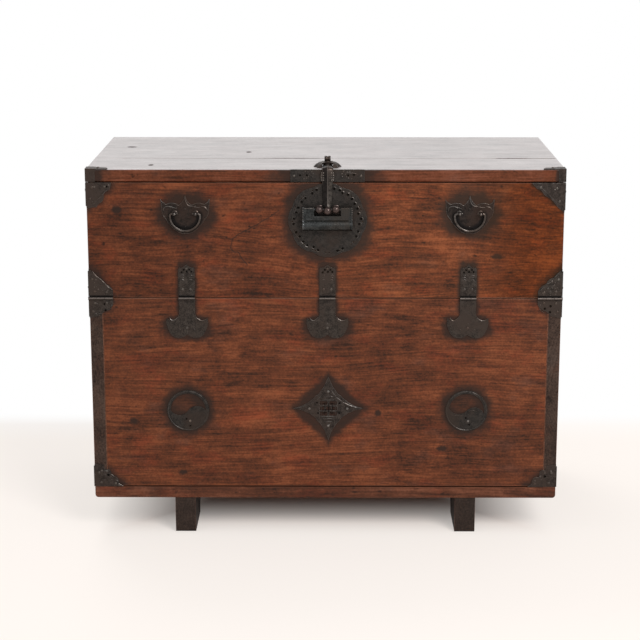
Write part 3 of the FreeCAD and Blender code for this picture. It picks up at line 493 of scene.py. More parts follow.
front_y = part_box("flap_board")[0].y
flap_crack = [Vector((x * mm, front_y, z * mm)) for x, z in
              [(-88, 649), (-133, 620), (-162, 605.5), (-178, 593.5), (-181.5, 576), (-176, 569),
               (-166, 566.5), (-160, 556), (-150, 543)]]
print("front face at y =", round(front_y, 4))

# %% [markdown]
# ## The woods
# The front is a red-brown elm with a waxed, uneven shine. The sides and the back are plain
# and darker, and the lid is worn: its wax and dust catch the white room at a glancing
# angle, so it gets a clear coat. Each board gets its own heart, so that no two boards
# repeat. A second slot on each board colours the rubbed arrises that the bevels make; on
# the lid it is paler, rubbed wear with a painted highlight along the edge.
# Stains don't soak in: a few millimetres behind the front face the wood is clean.

# %% Wood tones
stain_colour = (0.024, 0.0145, 0.011, 1)
stain_grain, stain_ragged, stain_depth = 45.0, 1.1, 0.93
stain_fade = 1.45
stain_soak = 0.006
spared_share = 0.42
knot_grain, knot_ragged, knot_depth = 170.0, 1.4, 0.9
crack_depth, crack_fall = 0.85, -2.0
crack_wander = (0.006, 0.002, 0.006)
grain_relief = 0.0003
red_brown = {"Dark": (0.030, 0.013, 0.008, 1), "Middle": (0.112, 0.034, 0.015, 1),
             "Light": (0.220, 0.068, 0.028, 1), "Warm": (0.220, 0.044, 0.018, 1),
             "Dull": (0.115, 0.052, 0.036, 1)}
flap_brown = {"Dark": (0.024, 0.011, 0.007, 1), "Middle": (0.102, 0.030, 0.013, 1),
              "Light": (0.210, 0.063, 0.026, 1), "Warm": (0.215, 0.042, 0.015, 1),
              "Dull": (0.105, 0.046, 0.030, 1)}
low_brown = {"Dark": (0.028, 0.013, 0.009, 1), "Middle": (0.092, 0.032, 0.017, 1),
             "Light": (0.180, 0.068, 0.038, 1), "Warm": (0.160, 0.036, 0.017, 1),
             "Dull": (0.085, 0.046, 0.034, 1)}
dull_brown = {"Dark": (0.015, 0.009, 0.007, 1), "Middle": (0.045, 0.028, 0.021, 1),
              "Light": (0.085, 0.054, 0.041, 1), "Warm": (0.070, 0.030, 0.018, 1),
              "Dull": (0.060, 0.044, 0.036, 1)}
lid_brown = {"Dark": (0.034, 0.012, 0.006, 1), "Middle": (0.108, 0.032, 0.014, 1),
             "Light": (0.180, 0.062, 0.034, 1), "Warm": (0.180, 0.040, 0.016, 1),
             "Dull": (0.100, 0.048, 0.034, 1)}
foot_brown = {"Dark": (0.014, 0.010, 0.008, 1), "Middle": (0.030, 0.020, 0.016, 1),
              "Light": (0.054, 0.036, 0.028, 1), "Warm": (0.042, 0.023, 0.016, 1),
              "Dull": (0.038, 0.029, 0.025, 1)}
rubbed_brown = {"Dark": (0.080, 0.034, 0.020, 1), "Middle": (0.155, 0.066, 0.040, 1),
                "Light": (0.25, 0.125, 0.082, 1), "Warm": (0.18, 0.07, 0.035, 1),
                "Dull": (0.14, 0.085, 0.065, 1)}
# The lid's paler arris: rubbed wear, with a painted highlight along the edge.
rubbed_and_highlit_brown = {"Dark": (0.10, 0.055, 0.040, 1), "Middle": (0.30, 0.20, 0.16, 1),
              "Light": (0.50, 0.38, 0.32, 1), "Warm": (0.28, 0.15, 0.10, 1),
              "Dull": (0.26, 0.19, 0.16, 1)}
print("each palette has", list(red_brown))

# %% Wood materials


def wood_colour(tree, place, heart, tones, turn, ring, wave, age):
    """The grain's outputs, with the grain along X or turned round Z."""
    turned = node(tree, "Mapping", {"Vector": place, "Rotation": (0, 0, turn)}).outputs[0]
    return use(tree, wood_grain, Vector=turned, Heart=heart, Ring=ring, Wave=wave, Age=age, **tones)


def darkened(tree, place, colour, spots, scale, ragged, depth, spared=()):
    """The colour, stained inside the given spots, whose edges noise makes ragged, and the mask."""
    edge = maths(tree, "MULTIPLY_ADD", noise(tree, place, scale, 4.0, 0.65), ragged, -ragged / 2)
    mask = maths(tree, "POWER", stained(tree, place, edge, spots), stain_fade)
    if spared:
        spare = maths(tree, "MULTIPLY", stained(tree, place, edge, spared), spared_share)
        mask = maths(tree, "MULTIPLY", mask, maths(tree, "SUBTRACT", 1.0, spare))
    return mixed(tree, maths(tree, "MULTIPLY", mask, depth), colour, stain_colour), mask


def split_open(tree, place, colour, height, crack):
    """The colour and height with a crack drawn in, and the crack's mask."""
    wander = node(tree, "TexNoise", {"Vector": place, "Scale": 75.0, "Detail": 4.0}).outputs["Color"]
    wander = vectors(tree, "MULTIPLY", vectors(tree, "SUBTRACT", wander, (0.5, 0.5, 0.5)), crack_wander)
    wandering = vectors(tree, "ADD", place, wander)
    mask = 0.0
    for chain, width in crack:
        mask = maths(tree, "MAXIMUM", mask, cracked(tree, wandering, chain, width))
    return (mixed(tree, maths(tree, "MULTIPLY", mask, crack_depth), colour, stain_colour),
            maths(tree, "MULTIPLY_ADD", mask, crack_fall, height), mask)


def wood(name, heart, tones, turn=0.0, ring=0.006, wave=0.05, age=1.0, stains=(), spared=(),
         knots=(), crack=(), rough=0.0, specular=0.1, extra=None):
    """A finished wood. Extra is a function that goes on working on the shader."""
    material, tree, shader, place = new_material(name)
    grain = wood_colour(tree, place, heart, tones, turn, ring, wave, age)
    colour = grain["Color"]
    height = grain["Height"]
    marks = 0.0
    if stains:
        skin = darkened(tree, place, colour, stains, stain_grain, stain_ragged, stain_depth,
                        spared)[0]
        inwards = axis(tree, place, "Y")
        inwards = step(tree, inwards, front_y + stain_soak, front_y + 2 * stain_soak)
        colour = mixed(tree, inwards, skin, colour)
    if knots:
        colour, marks = darkened(tree, place, colour, knots, knot_grain, knot_ragged, knot_depth)
    if crack:
        colour, height, split = split_open(tree, place, colour, height, crack)
        marks = maths(tree, "MAXIMUM", marks, split)
    feed(tree, shader.inputs["Base Color"], colour)
    feed(tree, shader.inputs["Roughness"], maths(tree, "ADD", grain["Roughness"], rough))
    shader.inputs["Specular IOR Level"].default_value = specular
    bump = node(tree, "Bump", {"Height": height, "Distance": grain_relief, "Strength": 0.5})
    tree.links.new(bump.outputs["Normal"], shader.inputs["Normal"])
    if extra:
        extra(tree, shader, place, grain, marks)
    return material


# %% [markdown]
# ## The worn lid
# Seen from the front at a low angle, the lid's top is nearly white: old wax mirrors the
# bright room, and dust lies on it. A blurred clear coat over a pale colour does this in any
# view; the pale colour is partly dust and partly a painted sheen that stands in for the
# reflection. Both belong on the top alone, so they read which way the face looks, and they
# spare the knots and the open joint.

# %% Lid coat
coat_index = 1.65
coat_blur = 0.30
coat_low, coat_gain = 0.72, 0.35
scuff_scale, scuff_weight = (7.0, 190.0, 60.0), 0.55
marks_spared = -0.9
# Pale colour laid on the top: partly dust, partly a painted sheen standing in for the reflection of the room.
dust_and_sheen = (0.535, 0.52, 0.52, 1)
dust_and_sheen_share = 0.65
print("coat index", coat_index, "and dust on", dust_and_sheen_share, "of it")


def lid_coat(tree, shader, place, grain, marks):
    looking = tree.nodes.new("ShaderNodeTexCoord").outputs["Normal"]
    upward = step(tree, axis(tree, looking, "Z"), 0.4, 0.9)
    worn = maths(tree, "MULTIPLY_ADD", grain["Tone"], coat_gain, coat_low)
    scuff = noise(tree, vectors(tree, "MULTIPLY", place, scuff_scale), 1.0, 4.0, 0.6)
    scuff = maths(tree, "SUBTRACT", scuff, 0.5)
    worn = maths(tree, "MULTIPLY_ADD", scuff, scuff_weight, worn, clamp=True)
    worn = maths(tree, "MULTIPLY", upward, worn)
    worn = maths(tree, "MULTIPLY", worn, maths(tree, "MULTIPLY_ADD", marks, marks_spared, 1.0))
    feed(tree, shader.inputs["Coat Weight"], worn)
    bare = shader.inputs["Base Color"].links[0].from_socket
    # The top's colour is mixed towards the pale colour of dust and painted sheen.
    dust_and_sheen_mask = maths(tree, "MULTIPLY", worn, dust_and_sheen_share)
    feed(tree, shader.inputs["Base Color"], mixed(tree, dust_and_sheen_mask, bare, dust_and_sheen))
    shader.inputs["Coat IOR"].default_value = coat_index
    shader.inputs["Coat Roughness"].default_value = coat_blur


# %% [markdown]
# ## The sides
# From the front only the dark front edges of the sides show. Further back they turn to a
# plain red-brown, a little duller than the front.

# %% Side tone
side_dark = (0.022, 0.010, 0.006, 1)
side_light = (0.175, 0.064, 0.034, 1)
edge_from, edge_to = front_y + 0.002, front_y + 0.022
side_share = 0.8
print("side tone from y =", round(edge_from, 4), "to", round(edge_to, 4))


def side_tone(tree, shader, place, grain, marks):
    inwards = step(tree, axis(tree, place, "Y"), edge_from, edge_to)
    edge = shader.inputs["Base Color"].links[0].from_socket
    plain = mixed(tree, grain["Tone"], side_dark, side_light)
    share = maths(tree, "MULTIPLY", inwards, side_share)
    feed(tree, shader.inputs["Base Color"], mixed(tree, share, edge, plain))


# %% [markdown]
# ## One board, three tones
# The flap is cut from one wide board, and it isn't the same brown from end to end. It is
# deeper at the left, lighter right of the lock, and its right-hand end has kept a redder,
# oilier coat. A gain for each channel, blended along the board, tints the finished colour.

# %% Flap tone
left_gain = (0.84, 0.84, 0.84, 1)
# Where each next gain begins and is complete, in metres along X.
next_gains = [(-0.42, -0.12, (1.0, 1.0, 1.0, 1)), (-0.10, 0.14, (1.21, 1.22, 1.15, 1)),
              (0.25, 0.40, (0.89, 0.71, 0.39, 1))]
print("flap in", 1 + len(next_gains), "tones")


def flap_tone(tree, shader, place, grain, marks):
    along = axis(tree, place, "X")
    gain = left_gain
    for start, end, next_gain in next_gains:
        gain = mixed(tree, step(tree, along, start, end), gain, next_gain)
    colour = shader.inputs["Base Color"].links[0].from_socket
    feed(tree, shader.inputs["Base Color"], vectors(tree, "MULTIPLY", colour, gain))


# %% Finished woods
front_knots = [knot(-0.3750, 0.2305, 0.005, 0.004), knot(0.1032, 0.2475, 0.004, 0.004),
               knot(-0.2808, 0.1256, 0.004, 0.003), knot(0.2300, 0.1750, 0.006, 0.003)]
flap_knots = [knot(-0.3980, 0.6500, 0.006, 0.005), knot(0.3300, 0.5600, 0.007, 0.003)]
# The wood in the openings of the round mounts has stayed a little lighter.
front_spared = [spot(x, 0.2665, 0.013, 0.009, 2.0, 0.009, 0.012) for x in (-0.276, 0.268)]
front_wood = wood("front elm", (0.3, 0.16, 0.30), red_brown, ring=0.0062, stains=front_stains,
                  spared=front_spared, knots=front_knots)
flap_wood = wood("flap elm", (-0.4, 0.05, 0.50), flap_brown, ring=0.0058, wave=0.085, age=1.2,
                 stains=flap_stains, knots=flap_knots, crack=[(flap_crack, 0.0018)],
                 extra=flap_tone)
side_wood = wood("side elm", (0.2, 0.60, 0.33), dull_brown, turn=math.pi / 2, age=1.2, rough=0.05,
                 extra=side_tone)
bottom_wood = wood("bottom elm", (0.1, 0.10, 0.02), low_brown, ring=0.005, age=1.3)
back_wood = wood("back pine", (0.0, 0.50, 0.42), dull_brown, ring=0.009, rough=0.12)
runner_wood = wood("runner oak", (0.1, 0.40, 0.10), foot_brown, turn=math.pi / 2, age=1.5, rough=0.1)
lid_level = cad_box[1].z - 0.0208
lid_chips = [([Vector((x0, y0, lid_level)), Vector((x1, y1, lid_level))], width)
             for x0, y0, x1, y1, width in ((-0.095, -0.0752, -0.015, -0.0752, 0.0060),
                                           (0.340, -0.0752, 0.450, -0.0748, 0.0055),
                                           (0.360, -0.0700, 0.392, -0.0750, 0.0060),
                                           (-0.400, -0.0752, -0.130, -0.0752, 0.0028),
                                           (0.140, -0.0752, 0.330, -0.0752, 0.0022))]
lid_knots = [(Vector((x, y, lid_level)), Vector((wide, deep, 1.0)), 2.0, deep, knot_reach)
             for x, y, wide, deep in ((-0.155, 0.013, 0.004, 0.007), (-0.399, 0.085, 0.007, 0.006),
                                      (-0.336, -0.164, 0.004, 0.008), (-0.065, -0.0745, 0.03, 0.002),
                                      (0.374, -0.0735, 0.022, 0.003))]
lid_wood = wood("lid elm", (-0.2, 0.02, 0.52), lid_brown, stains=lid_stains, knots=lid_knots,
                crack=lid_chips, extra=lid_coat)
rubbed_wood = wood("rubbed arris", (0.3, 0.1, 0.2), rubbed_brown, ring=0.004)
rubbed_and_highlit_arris = wood("rubbed and highlit arris", (0.3, 0.1, 0.2), rubbed_and_highlit_brown, ring=0.004, specular=0.3)
print("woods:", [m.name for m in bpy.data.materials if "elm" in m.name])

# %% [markdown]
# ## Blackened iron
# The mounts are sheet iron, hammered, scaled in oil smoke and rubbed by hands. The group
# mottles two greys, adds a little rust, and beats shallow hammer marks into the surface.
# Every iron below is this group with its own greys, from the black of soot and painted shade to the padlock's
# bright rim.

# %% Iron group
inputs = [("Vector", "Vector", (0, 0, 0)), ("Dark", "Color", white), ("Pale", "Color", white),
          ("Rust", "Color", white), ("Hammer", "Float", 90.0)]
outputs = [("Color", "Color"), ("Roughness", "Float"), ("Height", "Float")]
black_iron, given, out = new_group("Blackened iron", inputs, outputs)
tree = black_iron
mottle = noise(tree, given["Vector"], 110.0, 5.0, 0.7)
patch = noise(tree, given["Vector"], 16.0, 3.0, 0.6)
speck = noise(tree, given["Vector"], 520.0, 3.0, 0.6)
pale_share = maths(tree, "MULTIPLY_ADD", maths(tree, "SUBTRACT", speck, 0.5), 0.9, mottle)
pale_share = step(tree, pale_share, 0.30, 0.72)
rust_share = step(tree, maths(tree, "MULTIPLY_ADD", speck, 0.35, patch), 0.62, 0.84)
colour = mixed(tree, pale_share, given["Dark"], given["Pale"])
feed(tree, out["Color"], mixed(tree, rust_share, colour, given["Rust"]))
feed(tree, out["Roughness"], maths(tree, "MULTIPLY_ADD", pale_share, -0.22, 0.62))
beaten = node(tree, "TexVoronoi", {"Vector": given["Vector"], "Scale": given["Hammer"]},
              feature="SMOOTH_F1").outputs["Distance"]
beaten = maths(tree, "MULTIPLY_ADD", mottle, 0.9, beaten)
feed(tree, out["Height"], maths(tree, "MULTIPLY_ADD", speck, 0.45, beaten))
print(black_iron.name, len(black_iron.nodes), "nodes")

# %% [markdown]
# ## Painted shade and highlights
# Iron resting on iron lies in shade, and a raised edge catches the light. Three small
# functions paint this shade and these highlights over an iron's colour. Each measures how
# far a point is from a line or a ring that belongs to its mount.

# %% Painted shade and highlights
# Painted shade: near-black laid where shade falls. Painted highlight: a pale grey laid where light catches.
painted_shade = (0.003, 0.002, 0.002, 1)
painted_highlight = (0.14, 0.118, 0.105, 1)
bails_apart, bails_middle, bail_height = 0.271, 0.004, 0.6394
seam_height = 0.4785
print("grime above z =", seam_height)


def band(tree, value, rise, full, fade, gone):
    """1 between full and fade, and 0 outside rise and gone."""
    return maths(tree, "MULTIPLY", step(tree, value, rise, full), fading(tree, value, fade, gone))


def laid(tree, mask, share, colour, paint):
    """A colour with another laid over it where the mask is."""
    return mixed(tree, maths(tree, "MULTIPLY", mask, share), colour, paint)


def painted_ring_shadow(tree, place, colour):
    """Bail plates: painted shadow under the rod, on the lower half of its ring."""
    across = maths(tree, "ABSOLUTE", maths(tree, "SUBTRACT", axis(tree, place, "X"), bails_middle))
    across = maths(tree, "SUBTRACT", across, bails_apart)
    up = maths(tree, "SUBTRACT", axis(tree, place, "Z"), bail_height)
    ring = band(tree, diagonal(tree, across, up), 0.018, 0.0235, 0.031, 0.035)
    low = fading(tree, up, -0.004, 0.014)
    return laid(tree, maths(tree, "MULTIPLY", ring, low), 0.85, colour, painted_shade)


def hasp_shade_and_highlight(tree, place, colour):
    """The hasp's bar: painted shade left of its ridge, and a painted highlight along the ridge."""
    across = maths(tree, "SUBTRACT", axis(tree, place, "X"), bails_middle)
    from_ridge = maths(tree, "ABSOLUTE", across)
    # Painted shade on the bar left of its ridge.
    left = maths(tree, "MULTIPLY", fading(tree, across, -0.0012, 0.0004),
                 fading(tree, from_ridge, 0.0085, 0.0100))
    colour = laid(tree, left, 0.75, colour, painted_shade)
    # Painted highlight along the ridge.
    return laid(tree, fading(tree, from_ridge, 0.0002, 0.0011), 0.4, colour, painted_highlight)


def knuckle_highlight_and_shade(tree, place, colour):
    """A hinge's knuckles: a painted highlight along the seam, and painted shade just above it."""
    up = maths(tree, "SUBTRACT", axis(tree, place, "Z"), seam_height)
    # Painted shade in a band just above the seam.
    colour = laid(tree, band(tree, up, 0.0008, 0.0018, 0.0040, 0.0055), 0.85, colour, painted_shade)
    # Painted highlight along the seam.
    rubbed = fading(tree, maths(tree, "ABSOLUTE", up), 0.0008, 0.0016)
    return laid(tree, rubbed, 0.8, colour, painted_highlight)


# %% Iron materials


def iron(name, dark, pale, rust, hammer=90.0, metallic=0.75, smoother=0.0, bump=0.0005,
         specular=0.5, finish=None):
    """A finished iron. Finish is a function that goes on painting its colour."""
    material, tree, shader, place = new_material(name)
    made = use(tree, black_iron, Vector=place, Dark=dark, Pale=pale, Rust=rust, Hammer=hammer)
    colour = made["Color"]
    if finish:
        colour = finish(tree, place, colour)
    feed(tree, shader.inputs["Base Color"], colour)
    feed(tree, shader.inputs["Roughness"], maths(tree, "SUBTRACT", made["Roughness"], smoother))
    shader.inputs["Metallic"].default_value = metallic
    shader.inputs["Specular IOR Level"].default_value = specular
    height = node(tree, "Bump", {"Height": made["Height"], "Distance": bump, "Strength": 0.5})
    tree.links.new(height.outputs["Normal"], shader.inputs["Normal"])
    return material


sheet_iron = iron("black sheet iron", (0.013, 0.009, 0.007, 1), (0.050, 0.038, 0.032, 1),
                  (0.040, 0.027, 0.021, 1), hammer=130.0, bump=0.0008)
# The bail plates' iron: a darker, shaded copy of the sheet iron, with painted shadow under the ring.
shaded_iron = iron("shaded sheet iron", (0.006, 0.004, 0.003, 1), (0.030, 0.021, 0.017, 1),
                   (0.030, 0.017, 0.012, 1), hammer=130.0, bump=0.0008, finish=painted_ring_shadow)
hinge_iron = iron("black hinge iron", (0.013, 0.0095, 0.0075, 1), (0.052, 0.041, 0.034, 1),
                  (0.040, 0.028, 0.022, 1), hammer=130.0, bump=0.0008, finish=knuckle_highlight_and_shade)
plate_iron = iron("lock plate iron", (0.013, 0.011, 0.0095, 1), (0.036, 0.030, 0.026, 1),
                  (0.032, 0.022, 0.017, 1), hammer=150.0, bump=0.0006)
rubbed_iron = iron("rubbed iron", (0.080, 0.068, 0.060, 1), (0.19, 0.17, 0.155, 1),
                   (0.10, 0.075, 0.06, 1), metallic=0.9, smoother=0.15)
worn_iron = iron("worn iron rod", (0.020, 0.016, 0.014, 1), (0.068, 0.057, 0.050, 1),
                 (0.050, 0.034, 0.026, 1), metallic=0.85, smoother=0.14)
hasp_iron = iron("hasp iron", (0.017, 0.014, 0.012, 1), (0.068, 0.058, 0.050, 1),
                 (0.050, 0.035, 0.028, 1), hammer=120.0, metallic=0.85, smoother=0.14, bump=0.0008,
                 finish=hasp_shade_and_highlight)
worn_line = iron("worn raised line", (0.048, 0.041, 0.037, 1), (0.13, 0.117, 0.107, 1),
                 (0.075, 0.056, 0.046, 1), metallic=0.85, smoother=0.1)
bail_iron = iron("bail iron", (0.036, 0.030, 0.027, 1), (0.135, 0.12, 0.11, 1),
                 (0.070, 0.052, 0.043, 1), metallic=1.0, smoother=0.26)
ball_iron = iron("ball iron", (0.024, 0.016, 0.014, 1), (0.082, 0.056, 0.050, 1),
                 (0.075, 0.048, 0.040, 1), metallic=0.65, smoother=0.28, bump=0.0002)
nail_iron = iron("nail iron", (0.050, 0.042, 0.037, 1), (0.13, 0.115, 0.10, 1),
                 (0.07, 0.05, 0.04, 1), metallic=0.9, smoother=0.15)
bright_nail = iron("rubbed nail heads", (0.08, 0.073, 0.068, 1), (0.22, 0.20, 0.185, 1),
                   (0.14, 0.11, 0.09, 1), metallic=1.0, smoother=0.2)
dim_iron = iron("chased iron", (0.034, 0.028, 0.024, 1), (0.085, 0.074, 0.066, 1),
                (0.060, 0.045, 0.036, 1), metallic=0.85, smoother=0.1)
# Near-black iron: painted shade on the floors of the punched holes and in the seam under the padlock's ears,
# and the diamond's black lines.
soot_and_shade = iron("soot in holes", (0.004, 0.0035, 0.003, 1), (0.009, 0.007, 0.006, 1),
            (0.010, 0.007, 0.005, 1), metallic=0.0, smoother=-0.2, specular=0.0)
lock_steel = iron("padlock steel", (0.014, 0.015, 0.015, 1), (0.052, 0.054, 0.053, 1),
                  (0.042, 0.036, 0.031, 1), hammer=140.0, metallic=0.9, smoother=0.18)
bright_steel = iron("bright steel rim", (0.12, 0.125, 0.125, 1), (0.34, 0.35, 0.35, 1),
                    (0.12, 0.10, 0.09, 1), metallic=1.0, smoother=0.25)
print("irons:", [m.name for m in bpy.data.materials if "iron" in m.name or "steel" in m.name])

# %% [markdown]
# ## Dressing the boards and the sheet iron
# The CAD boards and plates already have the right shape, so they stay. Their meshes are
# loose triangles: a Weld modifier joins them, a Bevel rounds the arrises and gives the new
# faces the second slot's rubbed finish, and Weighted Normal keeps the broad faces flat.

# %% Dress the CAD nodes
board_arris = 0.9 * mm
sheet_arris = 0.5 * mm
lock_arris = 0.5 * mm
spring_arris = 0.1 * mm
arris_angle = math.radians(38)
weld_reach = 0.02 * mm


def dress(names, material, rim, width, rim_slot=1):
    """Give CAD nodes a material and rounded arrises. Rim slot 0 leaves the rim unpainted."""
    for name in names:
        item = nodes[name]
        item.data.materials.clear()
        item.data.materials.append(material)
        item.data.materials.append(rim)
        for face in item.data.polygons:
            face.use_smooth = True
        weld = item.modifiers.new("Weld", "WELD")
        weld.merge_threshold = weld_reach
        bevel = item.modifiers.new("Arris", "BEVEL")
        bevel.width = width
        bevel.segments = 2
        bevel.limit_method = "ANGLE"
        bevel.angle_limit = arris_angle
        bevel.material = rim_slot
        normal = item.modifiers.new("Normals", "WEIGHTED_NORMAL")
        normal.keep_sharp = True


for names, board_wood in ((["lower_front_board"], front_wood), (["flap_board"], flap_wood),
                          (["left_side", "right_side"], side_wood), (["bottom_board"], bottom_wood),
                          (["back_upper_board", "back_lower_board"], back_wood),
                          (["left_runner", "right_runner"], runner_wood)):
    dress(names, board_wood, rubbed_wood, board_arris)
# The lid's planks get the paler arris, rubbed wear with a painted highlight.
dress(["lid_front_plank", "lid_rear_plank"], lid_wood, rubbed_and_highlit_arris, board_arris)
print("boards dressed")

# %% Dress the ironwork
sheets = ["diamond_mount", "rosette"]
hinges = []
for side in ("left", "right"):
    sheets += [side + corner + "_corner_mount" for corner in ("_lid", "_flap", "_bottom")]
    hinges += [side + "_corner_hinge_upper", side + "_corner_hinge_lower"]
for side in ("left", "middle", "right"):
    hinges += [side + "_strap_upper", side + "_strap_lower"]
dress(sheets, sheet_iron, worn_line, sheet_arris)
dress(["lock_plate", "lid_edge_plate"], plate_iron, dim_iron, sheet_arris)
dress(["left_taegeuk_mount", "right_taegeuk_mount"], plate_iron, sheet_iron, sheet_arris)
dress(hinges, hinge_iron, worn_line, sheet_arris)
# Bail plates: the shaded iron, with the bright rubbed iron on their rims as a painted highlight.
dress(["left_bail_plate", "right_bail_plate"], shaded_iron, rubbed_iron, sheet_arris)
dress(["strap_hinge_pins", "corner_hinge_pins"], rubbed_iron, rubbed_iron, sheet_arris)
dress(["padlock_case"], lock_steel, bright_steel, lock_arris, rim_slot=0)
dress(["padlock_key_plate", "padlock_bolt"], lock_steel, bright_steel, lock_arris)
dress(["padlock_springs"], bright_steel, bright_steel, spring_arris)
print(len(sheets) + len(hinges), "sheet mounts dressed")

# %% [markdown]
# ## The bench
# What follows is made by hand, with four tools. A lathe extrudes a disc upwards ring by
# ring and scales each ring. A wire is extruded point by point, turned into a curve with a
# round section, and turned back into a mesh. A drill is a Boolean with a cylinder. And a
# copier puts one model at many places and joins the copies.

# %% Selecting and settling


def pick(*pieces):
    bpy.ops.object.select_all(action="DESELECT")
    for piece in pieces:
        piece.select_set(True)
    bpy.context.view_layer.objects.active = pieces[-1]


def settled(piece, place=(0, 0, 0), turn=None):
    """Move a piece to its place, and the place into its mesh."""
    pick(piece)
    piece.location = piece.location + Vector(place)
    if turn:
        piece.rotation_euler = turn
    bpy.ops.object.transform_apply(location=True, rotation=True, scale=True)
    return piece


def joined(pieces):
    pick(*pieces)
    if len(pieces) > 1:
        bpy.ops.object.join()
    return bpy.context.object


def copied(piece):
    """A copy with its own mesh."""
    other = piece.copy()
    other.data = piece.data.copy()
    bpy.context.scene.collection.objects.link(other)
    return other


def painted(piece, material):
    piece.data.materials.clear()
    piece.data.materials.append(material)
    return piece


smooth_limit = math.radians(42)
handmade = []


def finished(piece, name, body, stands_for=()):
    """Name a piece, shade it, attach it to the body it rides on, and hide the nodes it stands for."""
    piece.name = name
    piece.data.name = name
    pick(piece)
    bpy.ops.object.shade_smooth_by_angle(angle=smooth_limit)
    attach(piece, body)
    if stands_for:
        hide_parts(*stands_for)
    handmade.append(name)


def extruded(move):
    """Extrude what is selected in edit mode, by metres along each axis."""
    bpy.ops.mesh.extrude_region_move(TRANSFORM_OT_translate={"value": move})


# %% Lathe
to_front = (math.pi / 2, 0, 0)
to_right = (0, math.pi / 2, 0)
to_left = (0, -math.pi / 2, 0)
upright = (0, 0, 0)


def turned(rings, sides):
    """A solid turned round Z from (radius, height) rings in mm, lowest first."""
    bpy.ops.object.select_all(action="DESELECT")
    first_radius, first_height = rings[0]
    bpy.ops.mesh.primitive_circle_add(vertices=sides, radius=first_radius * mm, fill_type="NGON",
                                      location=(0, 0, first_height * mm))
    bpy.ops.object.mode_set(mode="EDIT")
    for (before, low), (after, high) in zip(rings, rings[1:]):
        extruded((0, 0, (high - low) * mm))
        share = after / before
        bpy.ops.transform.resize(value=(share, share, 1))
    bpy.ops.mesh.select_all(action="SELECT")
    bpy.ops.mesh.normals_make_consistent(inside=False)
    bpy.ops.object.mode_set(mode="OBJECT")
    return settled(bpy.context.object)


near_pole = 0.995


def ball(radius, middle, low, high, steps):
    """The rings of a ball between two shares of its radius."""
    start, end = math.asin(low * near_pole), math.asin(high * near_pole)
    angles = [start + (end - start) * k / steps for k in range(steps + 1)]
    return [(radius * math.cos(a), middle + radius * math.sin(a)) for a in angles]


# %% Wire


def wire(points, thickness, swell, order=3):
    """A rod of round section along points in mm. Swell gives its radius at shares of its length."""
    bpy.ops.object.select_all(action="DESELECT")
    bpy.ops.mesh.primitive_plane_add(size=mm)
    bpy.ops.object.mode_set(mode="EDIT")
    bpy.ops.mesh.merge(type="CENTER")
    places = [Vector(point) * mm for point in points]
    bpy.ops.transform.translate(value=places[0])
    for start, end in zip(places, places[1:]):
        extruded(end - start)
    bpy.ops.object.mode_set(mode="OBJECT")
    bpy.ops.object.convert(target="CURVE")
    line = bpy.context.object.data
    line.splines[0].type = "NURBS"
    line.splines[0].order_u = order
    line.splines[0].use_endpoint_u = True
    line.resolution_u = 3
    for k, point in enumerate(line.splines[0].points):
        share = k / (len(places) - 1) * (len(swell) - 1)
        low = min(int(share), len(swell) - 1)
        high = min(low + 1, len(swell) - 1)
        point.radius = swell[low] + (swell[high] - swell[low]) * (share - low)
    line.bevel_depth = thickness * mm
    line.bevel_resolution = 1
    line.use_fill_caps = True
    bpy.ops.object.convert(target="MESH")
    return bpy.context.object


# %% Drill


def cut_with(piece, cutter):
    cut = piece.modifiers.new("Cut", "BOOLEAN")
    cut.operation = "DIFFERENCE"
    cut.object = cutter
    cut.solver = "EXACT"
    pick(piece)
    bpy.ops.object.modifier_apply(modifier=cut.name)
    bpy.data.objects.remove(cutter)


def drilled(piece, place, turn, radius, length, sides):
    """Bore a round hole, radius and length in mm, through a piece."""
    bpy.ops.object.select_all(action="DESELECT")
    bpy.ops.mesh.primitive_cylinder_add(vertices=sides, radius=radius * mm, depth=length * mm,
                                        location=place, rotation=turn)
    cut_with(piece, bpy.context.object)


# %% Copier


def spread(model, places, turn=to_front):
    """One model at many places, joined. The model itself is used up."""
    made = []
    for place in places:
        made.append(settled(copied(model), place, turn))
    bpy.data.objects.remove(model)
    return joined(made)


def mm_at(x, y, z):
    return Vector((x, y, z)) * mm


print("bench ready: lathe, wire, drill and copier")

# %% [markdown]
# ## Nail heads
# Each nail of the CAD model is a plain square spike with a small head. The real ones are
# domed by the hammer, and the ones that hands and cloth rub are bright. The places are read
# from the nodes: a merged copy is split into loose parts, their boxes are measured, and the
# copy is thrown away.

# %% Find the nails


def loose_boxes(name):
    copy = copied(nodes[name])
    pick(copy)
    bpy.ops.object.mode_set(mode="EDIT")
    bpy.ops.mesh.select_all(action="SELECT")
    bpy.ops.mesh.remove_doubles(threshold=0.02 * mm)
    bpy.ops.mesh.separate(type="LOOSE")
    bpy.ops.object.mode_set(mode="OBJECT")
    parts = list(bpy.context.selected_objects)
    boxes = []
    for part in parts:
        corners = [Vector(corner) for corner in part.bound_box]
        boxes.append((Vector([min(c[i] for c in corners) for i in range(3)]),
                      Vector([max(c[i] for c in corners) for i in range(3)])))
        bpy.data.objects.remove(part)
    return sorted(boxes, key=lambda box: (round(box[0].z, 4), round(box[0].x, 4)))


def nail_spot(low, high):
    """Where a nail's head is, and which way it faces."""
    middle, size = (low + high) / 2, high - low
    if size.y > size.x and size.y > size.z:
        return Vector((middle.x, low.y, middle.z)), to_front
    if size.z > size.x:
        return Vector((middle.x, middle.y, high.z)), upright
    outer, turn = (high.x, to_right) if middle.x > 0 else (low.x, to_left)
    return Vector((outer, middle.y, middle.z)), turn


head_depth = 1.5
nail_rings = [(2.6, -head_depth), (2.55, -head_depth * 0.7), (2.3, -head_depth * 0.3),
              (1.6, -0.15), (0.6, 0.0)]
rubbed_below = 0.30
rubbed_within = 0.30


